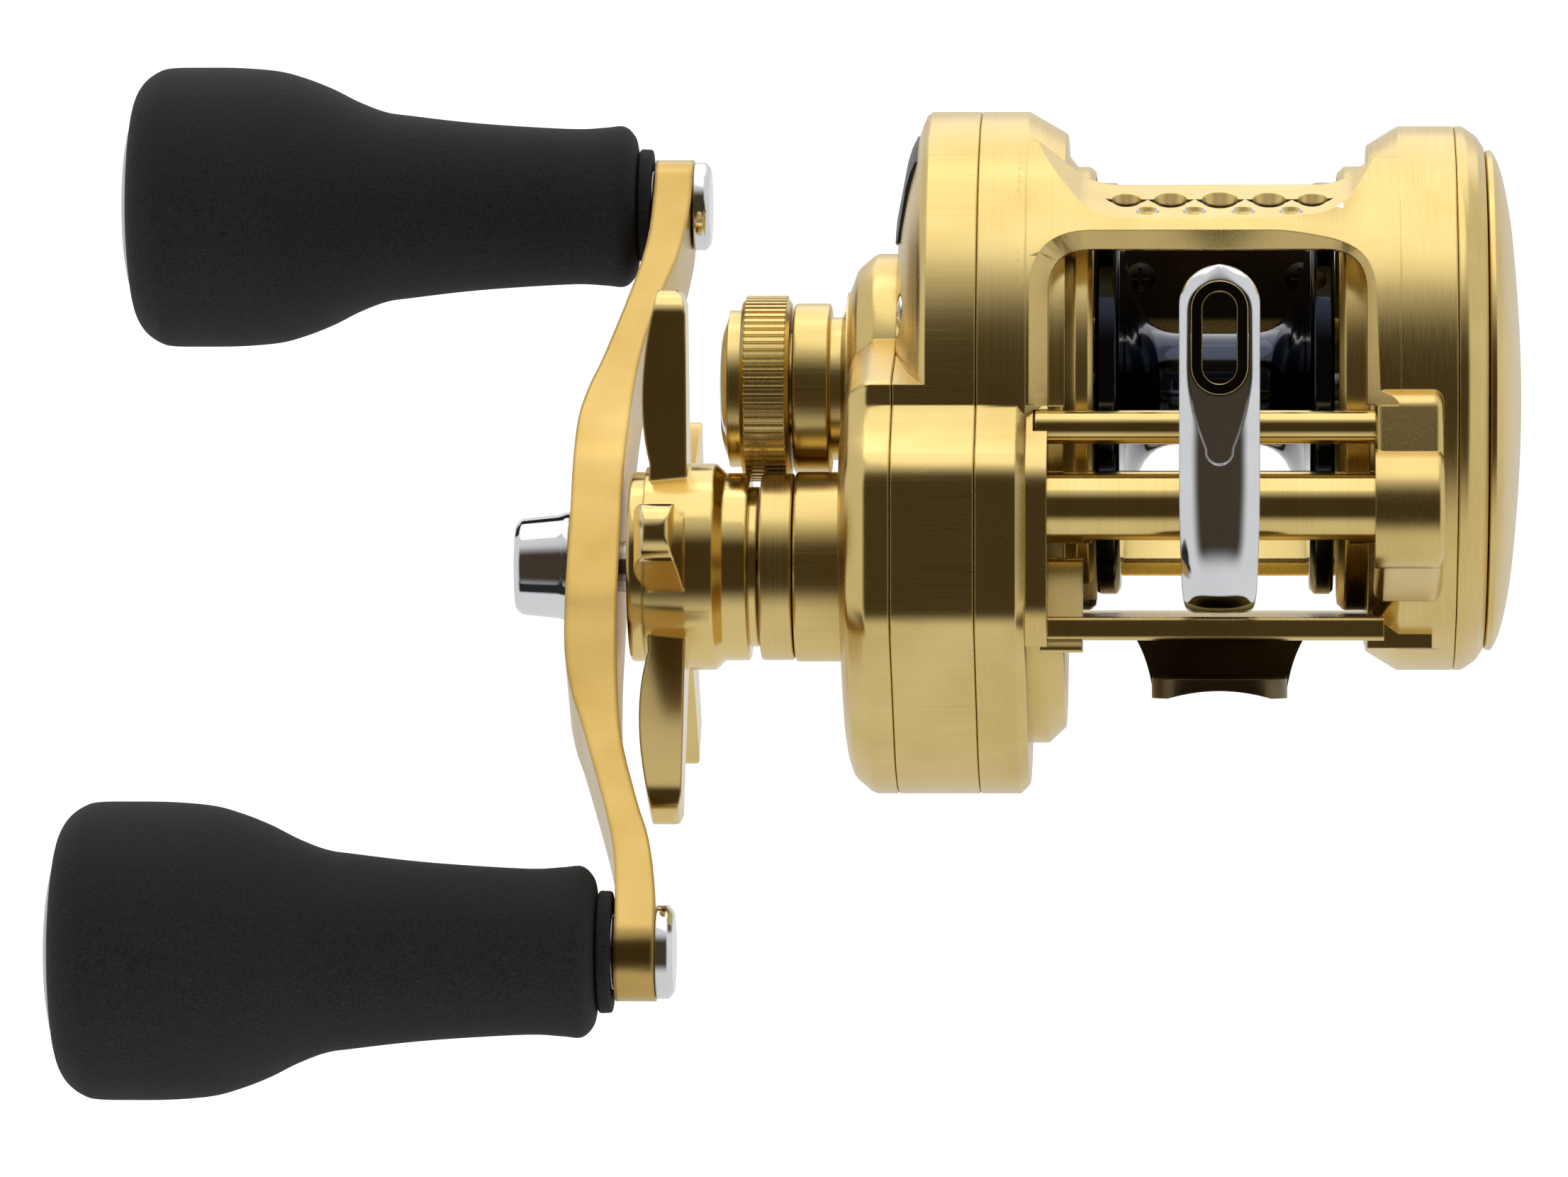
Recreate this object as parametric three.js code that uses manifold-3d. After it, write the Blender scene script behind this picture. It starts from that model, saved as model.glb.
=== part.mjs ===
// Round baitcasting reel, in millimetres, +Z up.
// +X runs along the spool axis towards the palm side, +Y towards the angler, -Y towards the line guide.
// The origin is the centre of the foot's underside, where the rod seat touches it.

import * as THREE from 'three';
import { mergeVertices } from 'three/addons/utils/BufferGeometryUtils.js';
import Module from 'manifold-3d';

const wasm = await Module();
wasm.setup();

// ---------------------------------------------------------------- driving dimensions

const SPOOL = { y: 0, z: 30.5 };             // axis of the spool, pinion and cast control
const DRIVE = { y: -6, z: 12.6 };            // axis of the handle, star and main gear
const TUBE = { y: -27.5, z: 18.6, r: 3.55 }; // level-wind tube
const ROD = { y: -27, z: 26.4, r: 1.65 };    // line guide's upper rail
const PALM = { y: 0, z: 29.5 };              // axis of the palm-side rim

const RIM_R = 27.85;      // handle-side housing, about the spool axis
const BULGE_R = 22.7;     // lower gear bulge, about the drive axis
const FRONT_Y = -34;      // front face of the level-wind gear case
const FRONT_LOW = 7.1;
const FRONT_HIGH = 22.8;
const LOBE_R = 13.6;
const CREST = { y: 27.8, z: 30.8, lobeY: 12.8, lobeZ: 35.2 }; // cover's upper edges, sloping up to the lobe
const WALL = 2.2;

const COVER_END = -37.4;  // stations along X, handle side to palm side
const COVER_SEAM = -32;
const PLATE_SEAM = -23.8;
const WEB_OUT = -18.8;
const WEB_IN = -16.8;
const HANDLE_LIP = -12.4;
const PALM_LIP = 11.7;
const PALM_SEAM = 23.3;
const PALM_END = 26.3;

const SPOOL_BORE = 21.3;
const FLANGE_R = 20.7;
const PALM_R = 27.3;
const SHAFT_R = 1.5;
const DRIVE_SHAFT_R = 2.5;

const MAIN_TEETH = 57;
const PINION_TEETH = 11;
const MODULE_MAIN = 2 * Math.hypot(DRIVE.y - SPOOL.y, DRIVE.z - SPOOL.z) / (MAIN_TEETH + PINION_TEETH);
const MODULE_WIND = 0.6;
const WIND_TEETH = 30;
const IDLER_TEETH = 15;
const WORM_TEETH = 15;

const ARM_LENGTH = 48.2;  // handle axis to knob axis
const ARM_TILT = 39.7;    // handle's turn at rest, degrees from upright
const STAR_TILT = 172;    // direction of the first star arm, degrees from +Y

const HOOD = { rear: -13.4, low: 44, tilt: 21.2, frontY: -23, frontZ: 46.8 };
const EYE = { z: 34.9, half: 2.85, height: 11.2 };
const FOOT_SCREWS = [-9, 9];
const THUMB_SCREWS = [-8.2, 8.2];
const YOKE_POSTS = [{ y: -9.2, z: 33 }, { y: 9.2, z: 29 }];
const PIN_X = -17.7;       // cross pin in the spool shaft

const DEG = Math.PI / 180;

// ---------------------------------------------------------------- solids

const polygon = (points) => new THREE.Shape(points.map(([u, v]) => new THREE.Vector2(u, v)));

// Closed geometry to solid: shared vertices merged, empty triangles dropped, faces turned outwards.
function solid(geometry) {
  geometry.deleteAttribute('normal');
  geometry.deleteAttribute('uv');
  const merged = mergeVertices(geometry, 1e-4);
  const points = merged.attributes.position.array;
  const index = merged.index.array;
  const corner = (i) => new THREE.Vector3().fromArray(points, 3 * index[i]);
  const kept = [];
  let volume = 0;
  for (let i = 0; i < index.length; i += 3) {
    const [a, b, c] = [index[i], index[i + 1], index[i + 2]];
    if (a === b || b === c || c === a) continue;
    kept.push([a, b, c]);
    volume += corner(i).dot(corner(i + 1).cross(corner(i + 2)));
  }
  const triangles = kept.flatMap(([a, b, c]) => (volume > 0 ? [a, b, c] : [a, c, b]));
  return new wasm.Manifold(new wasm.Mesh({
    numProp: 3,
    vertProperties: new Float32Array(points),
    triVerts: new Uint32Array(triangles),
  }));
}

function toGeometry(shape) {
  const mesh = shape.getMesh();
  const geometry = new THREE.BufferGeometry();
  geometry.setAttribute('position', new THREE.BufferAttribute(mesh.vertProperties, 3));
  geometry.setIndex(new THREE.BufferAttribute(mesh.triVerts, 1));
  return geometry;
}

const join = (first, ...others) => others.reduce((sum, next) => sum.add(next), first);
const cut = (first, ...others) => others.reduce((rest, next) => rest.subtract(next), first);

// Solid of revolution about a line along X, from points [x, radius].
function turned(profile, axis = { y: 0, z: 0 }, sides = 20) {
  const points = profile.map(([x, r]) => new THREE.Vector2(r, x));
  const first = profile[0];
  if (first[1] > 0) points.push(points[0].clone());
  const geometry = new THREE.LatheGeometry(points, sides);
  geometry.rotateZ(-Math.PI / 2);
  geometry.translate(0, axis.y, axis.z);
  return solid(geometry);
}

function disc(x0, x1, r, axis, sides) {
  return turned([[x0, 0], [x0, r], [x1, r], [x1, 0]], axis, sides);
}

function ring(x0, x1, rIn, rOut, axis, sides) {
  return turned([[x0, rIn], [x0, rOut], [x1, rOut], [x1, rIn]], axis, sides);
}

// Prism along X from a shape drawn in Y and Z, with optional bevels at both ends.
function prismX(shape, x0, x1, options = {}) {
  const thickness = options.bevelThickness ?? 0;
  const geometry = new THREE.ExtrudeGeometry(shape, {
    depth: x1 - x0 - 2 * thickness, bevelEnabled: thickness > 0, bevelSegments: 1,
    curveSegments: 7, steps: 1, ...options,
  });
  geometry.translate(0, 0, x0 + thickness);
  const y = new THREE.Vector3(0, 1, 0);
  const z = new THREE.Vector3(0, 0, 1);
  const x = new THREE.Vector3(1, 0, 0);
  geometry.applyMatrix4(new THREE.Matrix4().makeBasis(y, z, x));
  return solid(geometry);
}

// Prism along Y from a shape drawn in X and Z.
function prismY(shape, y0, y1) {
  const geometry = new THREE.ExtrudeGeometry(shape, { depth: y1 - y0, bevelEnabled: false, curveSegments: 6 });
  geometry.rotateX(Math.PI / 2);
  geometry.translate(0, y1, 0);
  return solid(geometry);
}

function box(x0, x1, y0, y1, z0, z1) {
  const geometry = new THREE.BoxGeometry(x1 - x0, y1 - y0, z1 - z0);
  geometry.translate((x0 + x1) / 2, (y0 + y1) / 2, (z0 + z1) / 2);
  return solid(geometry);
}

// Cylinder between two points.
function rod(from, to, r, sides = 24) {
  const start = new THREE.Vector3(...from);
  const along = new THREE.Vector3(...to).sub(start);
  const geometry = new THREE.CylinderGeometry(r, r, along.length(), sides);
  geometry.translate(0, along.length() / 2, 0);
  const up = new THREE.Vector3(0, 1, 0);
  geometry.applyQuaternion(new THREE.Quaternion().setFromUnitVectors(up, along.normalize()));
  geometry.translate(...from);
  return solid(geometry);
}

function roundedRect(shape, x0, x1, y0, y1, r) {
  shape.moveTo(x0 + r, y0);
  shape.lineTo(x1 - r, y0);
  shape.absarc(x1 - r, y0 + r, r, -Math.PI / 2, 0);
  shape.lineTo(x1, y1 - r);
  shape.absarc(x1 - r, y1 - r, r, 0, Math.PI / 2);
  shape.lineTo(x0 + r, y1);
  shape.absarc(x0 + r, y1 - r, r, Math.PI / 2, Math.PI);
  shape.lineTo(x0, y0 + r);
  shape.absarc(x0 + r, y0 + r, r, Math.PI, 1.5 * Math.PI);
  return shape;
}

// Spur gear along X, centred on its own axis; turn puts a tooth at that angle from +Y.
function gear(x0, x1, teeth, module, turn, bore) {
  const pitch = teeth * module / 2;
  const root = pitch - 1.25 * module;
  const tip = pitch + 0.9 * module;
  const shape = new THREE.Shape();
  const step = 2 * Math.PI / teeth;
  for (let i = 0; i < teeth; i += 1) {
    const middle = turn + i * step;
    for (const [part, r] of [[-0.3, root], [-0.115, tip], [0.115, tip], [0.3, root]]) {
      const angle = middle + part * step;
      const point = [r * Math.cos(angle), r * Math.sin(angle)];
      if (shape.curves.length === 0 && i === 0 && part === -0.3) shape.moveTo(...point);
      else shape.lineTo(...point);
    }
  }
  shape.closePath();
  return cut(prismX(shape, x0, x1), disc(x0 - 1, x1 + 1, bore, undefined, 20));
}

// ---------------------------------------------------------------- scene

const FINISHES = {
  gold: { color: 0xd9b45a, roughness: 0.28, metalness: 1 },
  bronze: { color: 0x4a3d26, roughness: 0.4, metalness: 1 },
  chrome: { color: 0xd6d8da, roughness: 0.08, metalness: 1 },
  steel: { color: 0x9fa2a5, roughness: 0.3, metalness: 1 },
  brass: { color: 0xb08d4a, roughness: 0.35, metalness: 1 },
  navy: { color: 0x10141f, roughness: 0.22, metalness: 0.8 },
  black: { color: 0x17171a, roughness: 0.9, metalness: 0 },
  plastic: { color: 0x26262a, roughness: 0.5, metalness: 0 },
  carbon: { color: 0x202022, roughness: 0.7, metalness: 0 },
};

const group = new THREE.Group();

function part(name, shape, finish, parent = group) {
  const mesh = new THREE.Mesh(toGeometry(shape), new THREE.MeshStandardMaterial(FINISHES[finish]));
  mesh.name = name;
  parent.add(mesh);
  return mesh;
}

// ---------------------------------------------------------------- housing outlines

// Handle-side outline in Y and Z: main circle, gear bulge and the level-wind gear case in front.
function housing(inset) {
  const rim = RIM_R - inset;
  const bulge = BULGE_R - inset;
  const front = FRONT_Y + inset;
  const apart = Math.hypot(DRIVE.y - SPOOL.y, DRIVE.z - SPOOL.z);
  const rear = Math.atan2(DRIVE.z - SPOOL.z, DRIVE.y - SPOOL.y) + Math.acos((rim - bulge) / apart);
  const low = FRONT_LOW + 0.6 * inset;
  const reach = Math.hypot(front - DRIVE.y, low - DRIVE.z);
  const under = Math.atan2(low - DRIVE.z, front - DRIVE.y) + Math.acos(bulge / reach);
  const shoulder = 184 * DEG;
  const shape = new THREE.Shape();
  shape.absarc(SPOOL.y, SPOOL.z, rim, shoulder, rear, true);
  shape.absarc(DRIVE.y, DRIVE.z, bulge, rear, under, true);
  shape.lineTo(front, low);
  shape.lineTo(front, FRONT_HIGH - 0.4 * inset);
  shape.quadraticCurveTo(-rim - 1.2, 26.2, rim * Math.cos(shoulder), SPOOL.z + rim * Math.sin(shoulder));
  return shape;
}

// Prism of the outer cover: the housing below two slopes, with a round lobe round the cast control above.
function coverPrism(x0, x1, inset) {
  const lobe = disc(x0, x1, LOBE_R - inset, SPOOL, 32);
  const edge = CREST.z - inset;
  const crest = CREST.lobeZ - inset;
  const above = polygon([[-60, edge], [-CREST.y, edge], [-CREST.lobeY, crest], [CREST.lobeY, crest],
    [CREST.y, edge], [60, edge], [60, 90], [-60, 90]]);
  return join(cut(prismX(housing(inset), x0, x1), prismX(above, x0 - 1, x1 + 1)), lobe);
}

const around = (axis, angle, r) => ({ y: axis.y + r * Math.cos(angle), z: axis.z + r * Math.sin(angle) });
const stud = (x0, x1, r, at) => disc(x0, x1, r, at, 12);

// Level-wind idler: its axis closes the triangle between the drive axis and the worm axis.
const TO_DRIVE = MODULE_WIND * (WIND_TEETH + IDLER_TEETH) / 2;
const TO_WORM = MODULE_WIND * (WORM_TEETH + IDLER_TEETH) / 2;
const WORM_APART = Math.hypot(TUBE.y - DRIVE.y, TUBE.z - DRIVE.z);
const WORM_DIRECTION = Math.atan2(TUBE.z - DRIVE.z, TUBE.y - DRIVE.y);
const IDLER_DIRECTION = WORM_DIRECTION
  + Math.acos((TO_DRIVE ** 2 + WORM_APART ** 2 - TO_WORM ** 2) / (2 * TO_DRIVE * WORM_APART));
const IDLER = around(DRIVE, IDLER_DIRECTION, TO_DRIVE);

const PLATE_SCREWS = [around(SPOOL, 115 * DEG, 23.4), around(DRIVE, -60 * DEG, 18.4)];
const INSERT_SCREW = around(SPOOL, 158 * DEG, 19);

// ---------------------------------------------------------------- frame

// Hood over the line guide: part of the housing's cylinder, milled to a tilted flat between two sloping sides.
function buildHood() {
  const band = join(ring(-19, 9, 22, RIM_R, SPOOL, 48), ring(8.8, 17.7, 20, PALM_R, PALM, 48));
  const sector = box(-19, 17.7, -30, HOOD.rear, HOOD.low, 60);
  const valley = new THREE.Shape();
  valley.moveTo(-9.6, 0);
  valley.quadraticCurveTo(-12, 0, -13.6, 1);
  valley.lineTo(-21, 6.2);
  valley.lineTo(-21, 20);
  valley.lineTo(20, 20);
  valley.lineTo(20, 6.2);
  valley.lineTo(13, 1);
  valley.quadraticCurveTo(11.6, 0, 9.2, 0);
  const milled = prismY(valley, -20, 30).rotate([HOOD.tilt, 0, 0]).translate([0, HOOD.frontY, HOOD.frontZ]);
  return cut(band.intersect(sector), milled);
}

function buildFrame() {
  const shell = cut(
    join(
      prismX(housing(0.9), PLATE_SEAM - 4, -18.9, { bevelThickness: 0.9, bevelSize: 0.9 }),
      turned([[-20, 0], [-20, 26.5], [-19, RIM_R - 0.5], [-15.2, 25.7], [-15.2, 0]], SPOOL, 32),
      turned([[-20, 0], [-20, 17.6], [-17, 17.6], [-15.3, 16], [-15.3, 0]], DRIVE, 32),
      prismX(housing(1), -20, WEB_IN).intersect(box(-30, 0, -40, -18, 5, 30)),
    ),
    box(-60, PLATE_SEAM, -80, 80, -60, 100),
    box(WEB_IN, 0, -40, -26, 0, HOOD.low),
    disc(WEB_IN, 0, 23.1, SPOOL, 32),
  );
  const lip = turned([[WEB_OUT, 20], [WEB_OUT, 24], [-15.6, 24], [-14.2, 22.3], [-13, 22.3],
    [HANDLE_LIP, 21.9], [HANDLE_LIP, 20]], SPOOL, 32);
  const palmRim = turned([[14.6, 15], [14.6, 25.4], [17.7, PALM_R], [PALM_SEAM, PALM_R], [PALM_SEAM, 15]],
    PALM, 32);
  const palmLip = ring(PALM_LIP, 15.5, 17, 22.1, SPOOL, 32);
  const boss = disc(15.1, 21.8, 6, TUBE, 32);
  const bossRoot = prismX(polygon([[-31.3, 14], [-27, 12.6], [-18, 9], [-18, 31], [-24.6, 31.4],
    [-28.9, 29.2], [-30.4, 23]]), 15.1, 21.8);
  const rearBar = prismX(polygon([[23.4, 33.6], [25.6, 33.6], [25.2, 38.2], [23.4, 38.2]]), -18, 18);
  const lowerBar = prismX(polygon([[19.4, 11.2], [21, 14.4], [19.8, 16], [17.6, 13]]), -18, 18);
  const platform = box(-17.5, 16, -29, 22, 5.6, 7.9);
  const platformRoot = box(14.6, 21, -14, 14, 4.6, 8.4);
  const cornerBlock = box(-17.5, -12.5, -29, -22.6, 4.4, 13.6);
  const body = join(shell, lip, palmRim, palmLip, boss, bossRoot, buildHood(), rearBar, lowerBar,
    platform, platformRoot, cornerBlock);
  const lineHoles = [[-9.2, 1.45], [-4.85, 1.65], [0, 1.8], [4.85, 1.65], [9.1, 1.45]]
    .map(([x, r]) => rod([x, -16.2, 53], [x, -20.6, 41], r, 14));
  return cut(body,
    prismX(housing(WALL + 0.1), PLATE_SEAM - 1, -20.9),
    disc(-21, WEB_OUT, 24.4, SPOOL, 32),
    disc(-21, WEB_OUT, 15, DRIVE, 32),
    disc(-21, WEB_OUT, 5.6, IDLER, 20),
    disc(-15, 40, SPOOL_BORE, SPOOL, 32),
    disc(-30, 0, 6.2, SPOOL, 20),
    disc(-30, 0, 5, DRIVE, 20),
    stud(-30, 0, 1.3, IDLER),
    disc(-30, 19.4, TUBE.r + 0.05, TUBE, 24),
    disc(-18.2, 17.6, ROD.r + 0.05, ROD, 16),
    box(-21, -12, 20, 22.3, 35.8, 44.4),
    box(11, 16.5, 20, 22.3, 35.8, 44.4),
    ...lineHoles,
    ...FOOT_SCREWS.map((y) => rod([0, y, 4], [0, y, 9], 1.15, 14)),
    ...YOKE_POSTS.map((at) => stud(-19, -16, 0.9, at)),
    disc(-24, WEB_OUT, 5.2, TUBE, 24));
}

// Foot: a thin plate along Y with a shallow saddle underneath, and a neck up to the frame.
function buildFoot() {
  const saddle = new THREE.Shape();
  saddle.moveTo(-7.2, -1);
  saddle.lineTo(-7.2, 3);
  saddle.lineTo(7.2, 3);
  saddle.lineTo(7.2, -1);
  saddle.lineTo(5, -1);
  saddle.lineTo(5, 0);
  saddle.quadraticCurveTo(0, 1.5, -5, 0);
  saddle.lineTo(-5, -1);
  const plan = roundedRect(new THREE.Shape(), -6.6, 6.6, -33, 29, 5);
  const blade = new THREE.ExtrudeGeometry(plan, { depth: 1.9, bevelEnabled: false, curveSegments: 6 });
  const neck = new THREE.Shape();
  neck.moveTo(-8.3, 5.5);
  neck.quadraticCurveTo(-7, 3.2, -6.6, 0);
  neck.lineTo(6.6, 0);
  neck.quadraticCurveTo(7, 3.2, 8.3, 5.5);
  const hollow = new THREE.Shape();
  hollow.moveTo(-5, -1);
  hollow.lineTo(-5, 0);
  hollow.quadraticCurveTo(0, 1.5, 5, 0);
  hollow.lineTo(5, -1);
  return cut(join(solid(blade), prismY(neck, -13, 13)), prismY(hollow, -40, 32),
    ...FOOT_SCREWS.map((y) => rod([0, y, 0], [0, y, 6], 1.15, 16)),
    ...FOOT_SCREWS.map((y) => rod([0, y, 0], [0, y, 2.6], 2.1, 14)));
}

function buildFootScrew(y) {
  return join(rod([0, y, 0.9], [0, y, 2.5], 2, 14), rod([0, y, 2], [0, y, 7.7], 1.05, 16));
}

// ---------------------------------------------------------------- handle-side housing

function buildSidePlate() {
  const band = prismX(housing(0), COVER_SEAM, PLATE_SEAM - 0.05);
  const hollow = prismX(housing(WALL), COVER_SEAM + 2, PLATE_SEAM);
  return cut(band, hollow,
    disc(-40, 0, 5.1, SPOOL, 20),
    disc(-40, 0, 9.2, DRIVE, 20),
    ...PLATE_SCREWS.map((at) => stud(-40, 0, 1.05, at)),
    stud(-33, -31.2, 1.6, INSERT_SCREW),
    ...YOKE_POSTS.map((at) => stud(-31, -29, 0.9, at)));
}

// Gear cover: shallow cup over the side plate, with the cast control neck and the drive boss.
function buildGearCover() {
  const edge = COVER_SEAM - 0.05;
  const shell = join(coverPrism(-34.5, edge, 0), coverPrism(-36.4, -34.5, 1.3),
    coverPrism(COVER_END, -36.4, 4));
  const neck = turned([[COVER_END, 0], [-37.9, 7.2], [-39.1, 7.2], [-39.1, 8.6], [-42.8, 8.6], [-42.8, 5.8],
    [-46.4, 5.8], [-46.4, 0]], SPOOL);
  const boss = disc(-42.4, COVER_END, 9.5, DRIVE);
  return cut(join(shell, neck, disc(-37.9, -36.4, 7.2, SPOOL), boss),
    coverPrism(-35.4, edge + 1, 2.4),
    disc(-50, -30, 4.1, SPOOL, 20),
    disc(-41.6, -38.9, 5.1, SPOOL, 20),
    disc(-38.9, -34, 5.1, SPOOL, 20),
    disc(-43, -34, 7.6, DRIVE, 32));
}

// Dark panel let into the upper outer face of the side plate.
function buildInsert() {
  const rim = disc(-32.6, COVER_SEAM - 0.1, 24.5, SPOOL, 32);
  const keep = box(-40, 0, -12, 24, 44.8, 60);
  return rim.intersect(keep);
}

// ---------------------------------------------------------------- palm side

function buildPalmPlate() {
  const rim = turned([[PALM_SEAM + 0.05, 20], [PALM_SEAM + 0.05, PALM_R], [24.6, PALM_R - 0.3],
    [25.6, PALM_R - 1.2], [PALM_END, PALM_R - 2.7], [PALM_END, 20]], PALM, 32);
  const web = disc(PALM_SEAM + 0.05, 25, 21, PALM);
  const hub = disc(18.4, 24, 6.5, SPOOL, 20);
  const skirt = ring(19, 23.6, 17, 18.6, SPOOL);
  return cut(join(rim, web, hub, skirt), disc(18, 21.4, 4.6, SPOOL, 20), disc(21, 23.4, 2.4, SPOOL, 20));
}

function buildPalmCap() {
  const cap = [[PALM_END + 0.1, 0], [PALM_END + 0.1, 24.6], [26.7, 25.1], [27.1, 25.1], [27.8, 23.8],
    [28.5, 21.2], [29.2, 16.8], [29.9, 8.6], [30.25, 0]];
  const shell = turned(cap, { y: PALM.y, z: PALM.z - 0.2 }, 32);
  return cut(shell, disc(26, 27.6, 19.6, PALM));
}

// ---------------------------------------------------------------- spool

function buildSpool() {
  const profile = [[-12.3, 4.5], [-12.3, FLANGE_R - 0.5], [-11.9, FLANGE_R], [-10.4, FLANGE_R],
    [-9.9, FLANGE_R - 0.6]];
  for (let i = 0; i <= 6; i += 1) {
    const u = i / 3 - 1;
    profile.push([-0.5 + 9 * u, 5.6 + 7.4 * u ** 6]);
  }
  profile.push([8.9, FLANGE_R - 0.6], [9.4, FLANGE_R], [10.9, FLANGE_R], [11.3, FLANGE_R - 0.5], [11.3, 4.5],
    [6, SHAFT_R + 0.05], [-7, SHAFT_R + 0.05]);
  return turned(profile, undefined, 32);
}

function buildSpoolShaft() {
  const shaft = turned([[-46.1, 0], [-46.1, 1], [-45.7, SHAFT_R], [21.2, SHAFT_R], [22.2, 0.8], [22.2, 0]],
    undefined, 20);
  return cut(shaft, rod([PIN_X, -5, 0], [PIN_X, 5, 0], 0.65, 16));
}

// ---------------------------------------------------------------- gear train

function buildDriveShaft() {
  return turned([[-68.2, 0], [-68.2, 1.9], [-64.7, 1.9], [-64.7, DRIVE_SHAFT_R], [-21.1, DRIVE_SHAFT_R],
    [-21.1, 6], [-20.7, 6], [-20.7, DRIVE_SHAFT_R], [-17, DRIVE_SHAFT_R], [-17, 0]], undefined, 20);
}

// Pinion: teeth for the main gear, a groove for the yoke and a cross slot for the spool pin.
function buildPinion(turn) {
  const teeth = gear(-24.8, -19.4, PINION_TEETH, MODULE_MAIN, turn, SHAFT_R + 0.1);
  const tube = turned([[-31.8, 1.6], [-31.8, 2.5], [-27.4, 2.5], [-27.4, 2.9], [-26.4, 2.9], [-26.4, 2.2],
    [-25.4, 2.2], [-25.4, 2.9], [-24.7, 2.9], [-24.7, 1.6]], undefined, 20);
  const claw = ring(-19.5, -17, 1.6, 2.9, undefined, 20);
  return cut(join(teeth, tube, claw), box(-18.5, -16.9, -4, 4, -0.8, 0.8));
}

function buildYoke() {
  const outline = roundedRect(new THREE.Shape(), -10.8, 10.8, 27, 36.4, 2.4);
  return cut(prismX(outline, -26.25, -25.55),
    disc(-30, -20, 2.35, SPOOL, 20),
    box(-30, -20, -2.35, 2.35, 20, SPOOL.z),
    ...YOKE_POSTS.map((at) => stud(-30, -20, 0.95, at)));
}

// Clutch cam: ring round the pinion, with an arm out to the thumb bar's tang.
function buildClutchCam() {
  const plate = ring(-20.4, -19.2, 6.3, 8, undefined, 32);
  const arm = box(-20.4, -19.2, 6.8, 23.2, -1.6, 1.6).rotate([22.5, 0, 0]);
  const ramps = [60, 240].map((angle) => box(-21, -20.3, 6.4, 7.9, -1.4, 1.4).rotate([angle, 0, 0]));
  return join(plate, arm, ...ramps);
}

function buildSpring(x0, x1, at) {
  class Helix extends THREE.Curve {
    getPoint(t, target = new THREE.Vector3()) {
      const angle = 2 * Math.PI * 4.5 * t;
      const x = x0 + 0.3 + (x1 - x0 - 0.6) * t;
      return target.set(x, at.y + 1.35 * Math.cos(angle), at.z + 1.35 * Math.sin(angle));
    }
  }
  const wire = new THREE.Shape();
  wire.absarc(0, 0, 0.22, 0, 2 * Math.PI);
  return solid(new THREE.ExtrudeGeometry(wire, {
    steps: 36, curveSegments: 2, bevelEnabled: false, extrudePath: new Helix(),
  }));
}

// ---------------------------------------------------------------- level wind

function buildTube() {
  return cut(ring(-18.7, 19.2, 2.7, TUBE.r, TUBE), box(-12.5, 12.5, TUBE.y - 1.5, TUBE.y + 1.5, 10, TUBE.z));
}

// Worm: crossed right-hand and left-hand helical grooves that meet below the axis at mid travel.
function buildWorm() {
  const body = turned([[-23, 0], [-23, 1.4], [-18.6, 1.4], [-18.6, 2.4], [13, 2.4], [13, 1.6], [18.9, 1.6],
    [18.9, 0]], undefined, 16);
  const grooves = [1, -1].map((hand) => {
    class Groove extends THREE.Curve {
      getPoint(t, target = new THREE.Vector3()) {
        const x = 18 * (t - 0.5);
        const angle = -Math.PI / 2 + hand * 2 * Math.PI * x / 6;
        return target.set(x, 2.5 * Math.cos(angle), 2.5 * Math.sin(angle));
      }
    }
    const cutter = new THREE.Shape();
    cutter.absarc(0, 0, 0.6, 0, 2 * Math.PI);
    return solid(new THREE.ExtrudeGeometry(cutter, {
      steps: 24, curveSegments: 2, bevelEnabled: false, extrudePath: new Groove(),
    }));
  });
  return cut(body, ...grooves);
}

function oval(halfWidth, height) {
  const rise = height / 2 - halfWidth;
  const shape = new THREE.Shape();
  shape.absarc(0, EYE.z + rise, halfWidth, 0, Math.PI);
  shape.absarc(0, EYE.z - rise, halfWidth, Math.PI, 2 * Math.PI);
  return shape;
}

function buildLineGuide() {
  const side = prismX(polygon([[-38, 42], [-35.4, 42], [-34.4, 31.5], [-31.5, 28.9], [-25, 28.9], [-23.2, 26],
    [-22.6, 14.5], [-24.4, 8.3], [-31, 8.3], [-35.3, 11], [-38.2, 16.5], [-39.3, 24], [-39.6, 37]]), -4, 4);
  const front = new THREE.Shape();
  front.moveTo(-3.6, 8);
  front.lineTo(3.6, 8);
  front.lineTo(3.9, 16);
  front.lineTo(3.9, 38.1);
  front.absarc(0, 38.1, 3.9, 0, Math.PI);
  front.lineTo(-3.9, 16);
  return cut(side.intersect(prismY(front, -45, -15)),
    disc(-9, 9, TUBE.r + 0.12, TUBE),
    disc(-9, 9, ROD.r + 0.08, ROD, 16),
    prismY(oval(EYE.half, EYE.height), -45, -20),
    rod([0, TUBE.y, 9.4], [0, TUBE.y, 17], 1.35, 14));
}

function buildPawl() {
  const base = rod([0, 0, 9.6], [0, 0, 14.8], 1.25, 14);
  return join(base, rod([0, 0, 14.7], [0, 0, 15.4], 1, 14), box(-0.35, 0.35, -0.9, 0.9, 15.3, 15.95));
}

// ---------------------------------------------------------------- thumb bar

function buildThumbBar() {
  const section = polygon([[21.6, 42.8], [25.4, 42.8], [28.2, 43.4], [28.6, 44.6], [25, 46.2], [21.6, 45.1]]);
  const pad = prismX(section, -10.4, 9.4);
  const plate = box(-10.4, 9.4, 20.9, 22, 38, 45.1);
  const tangs = [box(-20.6, -10, 20.9, 21.7, 41, 42.6), box(9, 15.6, 20.9, 21.7, 41, 42.6)];
  const holes = THUMB_SCREWS.map((x) => rod([x, 20, 42.2], [x, 23, 42.2], 1.1, 16));
  return cut(join(pad, plate, ...tangs), ...holes);
}

// ---------------------------------------------------------------- handle

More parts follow.
